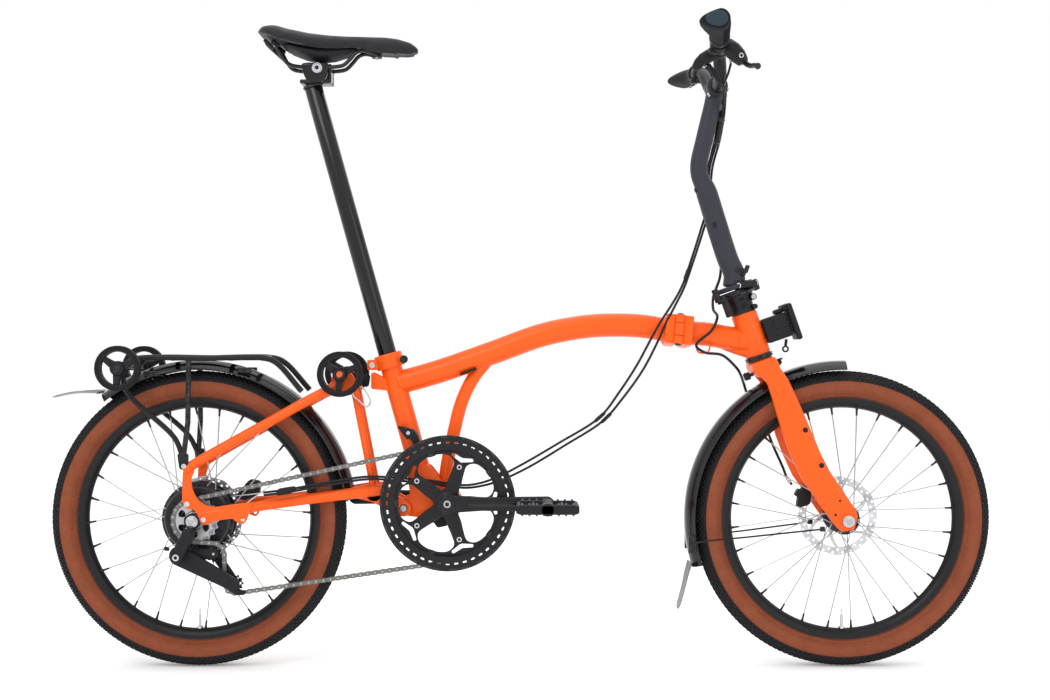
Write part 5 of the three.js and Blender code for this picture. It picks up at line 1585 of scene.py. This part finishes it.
def saddle_shell():
    """The saddle's belly and the plates that hold its rails."""
    belly_rings = []
    for x, z, half, deep in [(-412, 1076, 30, 3), (-400, 1068, 44, 8), (-375, 1058, 44, 12),
                             (-350, 1053, 36, 14), (-325, 1055, 28, 13), (-300, 1062, 20, 9),
                             (-286, 1069, 14, 5)]:
        belly_rings.append([(x, half * math.cos(a), z + deep * (0.9 + math.sin(a))) for a in turns(28)])
    belly = loft(belly_rings)
    slope = leaning(0.74, -0.67)
    tail = merged(block((-430, 0, 1071), (38, 40, 5), slope, 2, 3),
                  block((-436, 0, 1079), (22, 70, 6), slope, 2.4, 3),
                  *[block((-424, s * 33, 1079), (16, 11, 9), slope, 3, 3) for s in (-1, 1)],
                  block((-252, 0, 1063), (18, 22, 6), bevel=2.4, segments=3))
    piece("saddle_shell", "seat", "black_plastic", (PLASTIC, belly, tail))


def swell(pad):
    """Remeshes the cover, swells it a little as cloth with the travel capped, and presses its seams in."""
    mesh = pad.data
    remesh = pad.modifiers.new("remesh", "REMESH")
    remesh.mode = "VOXEL"
    remesh.voxel_size = SADDLE_VOXEL * MM
    apply_modifiers(pad)
    before = np.array([v.co for v in pad.data.vertices], float)
    cloth = pad.modifiers.new("cloth", "CLOTH")
    cloth.settings.use_pressure = True
    cloth.settings.uniform_pressure_force = CLOTH_PRESSURE
    cloth.settings.effector_weights.gravity = 0
    cloth.settings.quality = 5
    for number in range(1, CLOTH_FRAMES + 1):
        bpy.context.scene.frame_set(number)
    blown = pad.evaluated_get(bpy.context.evaluated_depsgraph_get()).to_mesh()
    after = np.array([v.co for v in blown.vertices], float)
    pad.modifiers.remove(cloth)
    bpy.context.scene.frame_set(1)
    step = after - before
    far = np.linalg.norm(step, axis=1, keepdims=True)
    before = before + step * np.minimum(1, CLOTH_TRAVEL * MM / np.maximum(far, 1e-9))
    points = before / MM
    low = np.interp(points[:, 0], *np.array(SADDLE_SKIRT).T)
    top = np.interp(points[:, 0], *np.array(SADDLE_TOP).T)
    share = (points[:, 2] - low) / np.maximum(top - low, 1)
    seam = np.exp(-((share - SEAM_SHARE) / 0.05) ** 2) * np.clip((points[:, 0] + 330) / 60, 0, 1)
    outward = np.sign(points[:, 1])
    points[:, 1] -= outward * seam * SEAM_DEEP
    hem = np.exp(-((share - HEM_SHARE) / 0.05) ** 2) * np.clip((-300 - points[:, 0]) / 40, 0, 1)
    points[:, 1] -= outward * hem * HEM_DEEP
    pad.data.vertices.foreach_set("co", (points * MM).ravel())
    smooth = pad.modifiers.new("smooth", "SMOOTH")
    smooth.factor = 0.5
    smooth.iterations = 6
    fine = pad.modifiers.new("fine", "SUBSURF")
    fine.levels = fine.render_levels = 1
    apply_modifiers(pad)
    pad.data.materials.clear()
    pad.data.materials.append(COVER)
    pad.data.polygons.foreach_set("use_smooth", [True] * len(pad.data.polygons))
    if mesh.users == 0:
        bpy.data.meshes.remove(mesh)


def apply_modifiers(thing):
    held = thing.evaluated_get(bpy.context.evaluated_depsgraph_get())
    made = bpy.data.meshes.new_from_object(held)
    thing.modifiers.clear()
    thing.data = made


def saddle_rails():
    def side(s):
        return sweep([(-424, s * 33, 1079), (-420, s * 32, 1070), (-412, s * 29, 1056),
                      (-402, s * 26, 1045), (-386, s * 24, 1041), (-350, s * 22, 1040.5),
                      (-322, s * 22, 1041), (-308, s * 21.5, 1044), (-296, s * 20.5, 1055),
                      (-286, s * 19.5, 1066), (-274, s * 17, 1070), (-250, s * 12, 1064)], 3.5, 20, 10)
    nose = bar((-252, -14, 1063), (-252, 14, 1063), 3.6)
    piece("saddle_rails_looks", "seat", "bright_steel", (GLOSS, side(-1), side(1), nose))


def saddle_clamp():
    jaw = both(plate(rounded([(-381, 1046), (-372, 1048), (-340, 1048), (-332, 1046), (-336, 1028),
                              (-343, 1014), (-370, 1014), (-377, 1028)], 5), 14, 27.5, bevel=2.4, steps=3))
    core = block((-357, 0, 1026), (30, 40, 22), bevel=5, segments=4)
    yoke = plate(rounded([(-384, 1020), (-330, 1020), (-330, 1013), (-384, 1013)], 2.4), -20, 20, bevel=1.4)
    strap = both(plate(rounded([(-333, 1046), (-328.5, 1046), (-328.5, 1014), (-333, 1014)], 1.6), 6, 24,
                       bevel=1.0))
    washers = merged(*[spindle(at_y(CLAMP_BOLT, s * 27.5), at_y(CLAMP_BOLT, s * 29), [(0, 9.4), (1, 9)],
                               40) for s in (-1, 1)])
    sockets = both(spindle(at_y(CLAMP_BOLT, 31), at_y(CLAMP_BOLT, 32.2), [(0, 3.6), (1, 3.2)], 6))
    heads = merged(*[bolt(at_y(CLAMP_BOLT, s * 29), at_y(CLAMP_BOLT, s * 32), 7, 3.4) for s in (-1, 1)])
    piece("saddle_clamp_looks", "seat", "black_alloy", (GLOSS, jaw, core, yoke, strap),
          (STEEL, washers, heads), (GLOSS, sockets))


seatpost()
saddle()
saddle_shell()
saddle_rails()
saddle_clamp()


# ---------------------------------------------------------------- cables and hose
CABLES = [(345, -70, 1000), (351, -40, 985), (353, -6, 962), (348, 24, 920), (335, 26, 870), (330, 27, 800),
          (318, 27, 757), (300, 12, 705), (282, -14, 660), (262, -33, 625), (246, -35, 598),
          (232, -34, 570), (206, -28, 520), (174, -20, 472), (140, -12, 430), (72, -4, 386), (0, -6, 344),
          (-50, -18, 322), (-92, -28, 314), (-130, -33, 318), (-152, -36, 322), (-200, -38, 326),
          (-262, -45, 330), (-330, -54, 321), (-400, -60, 309), (-440, -62, 304)]
HOSE = [(352, 116, 1034), (356, 70, 1012), (352, 40, 960), (338, 37, 900), (328, 38, 850), (334, 38, 790),
        (352, 34, 720), (352, 33, 680), (340, 31, 645), (338, 18, 622), (342, -10, 608), (330, -28, 584),
        (303, -30, 558), (318, -25, 546), (350, -14, 541), (376, -4, 519), (386, 14, 506), (394, 38, 492),
        (404, 50, 468), (430, 60, 430), (450, 63, 380), (467, 62, 342), (474, 54, 322), (481, 47, 311)]
SPAN = 8
CABLE_R = 2.1
HOSE_R = 2.4


def slack_route(side):
    """One of the two cables: it runs beside the other and parts from it where both hang free."""
    path = smooth_path(CABLES, SPAN)
    way = np.gradient(path, axis=0)
    way /= np.linalg.norm(way, axis=1)[:, None]
    across = np.cross(way, (0, 1, 0))
    t = np.arange(len(path)) / SPAN
    free = np.exp(-((t - 11.8) / 2.2) ** 2) * 4.4 + np.exp(-((t - 15.8) / 1.3) ** 2) * 2.4
    return path + across * (side * (2.3 + free))[:, None]


def run(name, routes, first, last, r, body, blend=None, stands_for=None, extra=()):
    """One stretch of the cables or the hose, between two of its route's points."""
    parts = [sweep(route[first * SPAN:last * SPAN + 1], r, 14, 0, 0.0) for route in routes]
    piece(name, body, "cable_housing", (HOUSING, *parts), *extra, stands_for=stands_for, blend=blend)


def ferrule(route, t, length=24, r=3.2):
    """A sleeve on a cable, t spans along its route."""
    i = int(t * SPAN)
    way = route[i + 1] - route[i - 1]
    way /= np.linalg.norm(way)
    return spindle(route[i] - way * length / 2, route[i] + way * length / 2,
                   [(0, r * 0.8), (0.15, r), (0.85, r), (1, r * 0.8)], 20)


def control_cables():
    """The two cables from the right lever and the shifter, along the stem and the frame to the right stay."""
    pair = [slack_route(-1), slack_route(1)]
    at_head = ferrule(pair[0], 7.6)
    at_tube = merged(ferrule(pair[1], 13.9), ferrule(pair[0], 14.0))
    at_hub = merged(ferrule(pair[0], 24.0, 30, 4.2), ferrule(pair[1], 24.2, 26, 3.6))
    leads = merged(sweep([pair[0][1], pair[0][0], (350, -92, 1016), (353, -114, 1033.5)], CABLE_R, 14, 8),
                   sweep([pair[1][1], pair[1][0], (331, -85, 1015), (310, -96, 1028)], CABLE_R, 14, 8))
    run("cables_bar", pair, 0, 4, CABLE_R, "handlepost", stands_for="control_cables",
        extra=[(HOUSING, leads)])
    run("cables_stem", pair, 4, 7, CABLE_R, "handlepost", ("handlepost", "fork", CABLES[4], CABLES[7]))
    run("cables_head", pair, 7, 10, CABLE_R, "fork", ("fork", "front_frame", CABLES[7], CABLES[9]),
        extra=[(PLASTIC, at_head)])
    run("cables_hinge", pair, 10, 13, CABLE_R, "front_frame",
        ("front_frame", "main_frame", CABLES[10], CABLES[13]))
    run("cables_frame", pair, 13, 20, CABLE_R, "main_frame", extra=[(PLASTIC, at_tube)])
    run("cables_stay", pair, 20, 25, CABLE_R, "main_frame",
        ("main_frame", "rear_frame", CABLES[20], CABLES[23]), extra=[(PLASTIC, at_hub)])


def front_hose():
    """The front brake hose, from the left lever to the calliper on the fork."""
    hose = [smooth_path(HOSE, SPAN)]
    run("hose_bar", hose, 0, 3, HOSE_R, "handlepost", stands_for="front_brake_hose")
    run("hose_stem", hose, 3, 7, HOSE_R, "handlepost", ("handlepost", "fork", HOSE[3], HOSE[7]))
    run("hose_head", hose, 7, 12, HOSE_R, "fork", ("fork", "front_frame", HOSE[7], HOSE[11]))
    run("hose_loop", hose, 12, 16, HOSE_R, "front_frame", ("front_frame", "fork", HOSE[13], HOSE[16]))
    run("hose_fork", hose, 16, 23, HOSE_R, "fork", extra=[(STEEL, ferrule(hose[0], 22.3, 16, 3.4))])


control_cables()
front_hose()


# ---------------------------------------------------------------- floor
FLOOR_HALF = 8                          # metres
FLOOR_GLOW = 0.14


def studio_floor():
    """A pale floor that glows a little, so that it stays nearly white."""
    mesh = bpy.data.meshes.new("floor")
    corners = [(x * FLOOR_HALF, y * FLOOR_HALF, 0) for x, y in [(-1, -1), (1, -1), (1, 1), (-1, 1)]]
    mesh.from_pydata(corners, [], [(0, 1, 2, 3)])
    floor = bpy.data.objects.new("floor", mesh)
    bpy.context.scene.collection.objects.link(floor)
    pale = material("pale_floor", 0xF8F8F8, 0.7, mottle=0.004, grain=0.02, shine=0.1)
    shader = pale.node_tree.nodes["Principled BSDF"]
    shader.inputs["Emission Color"].default_value = (1, 1, 1, 1)
    shader.inputs["Emission Strength"].default_value = FLOOR_GLOW
    mesh.materials.append(pale)


studio_floor()
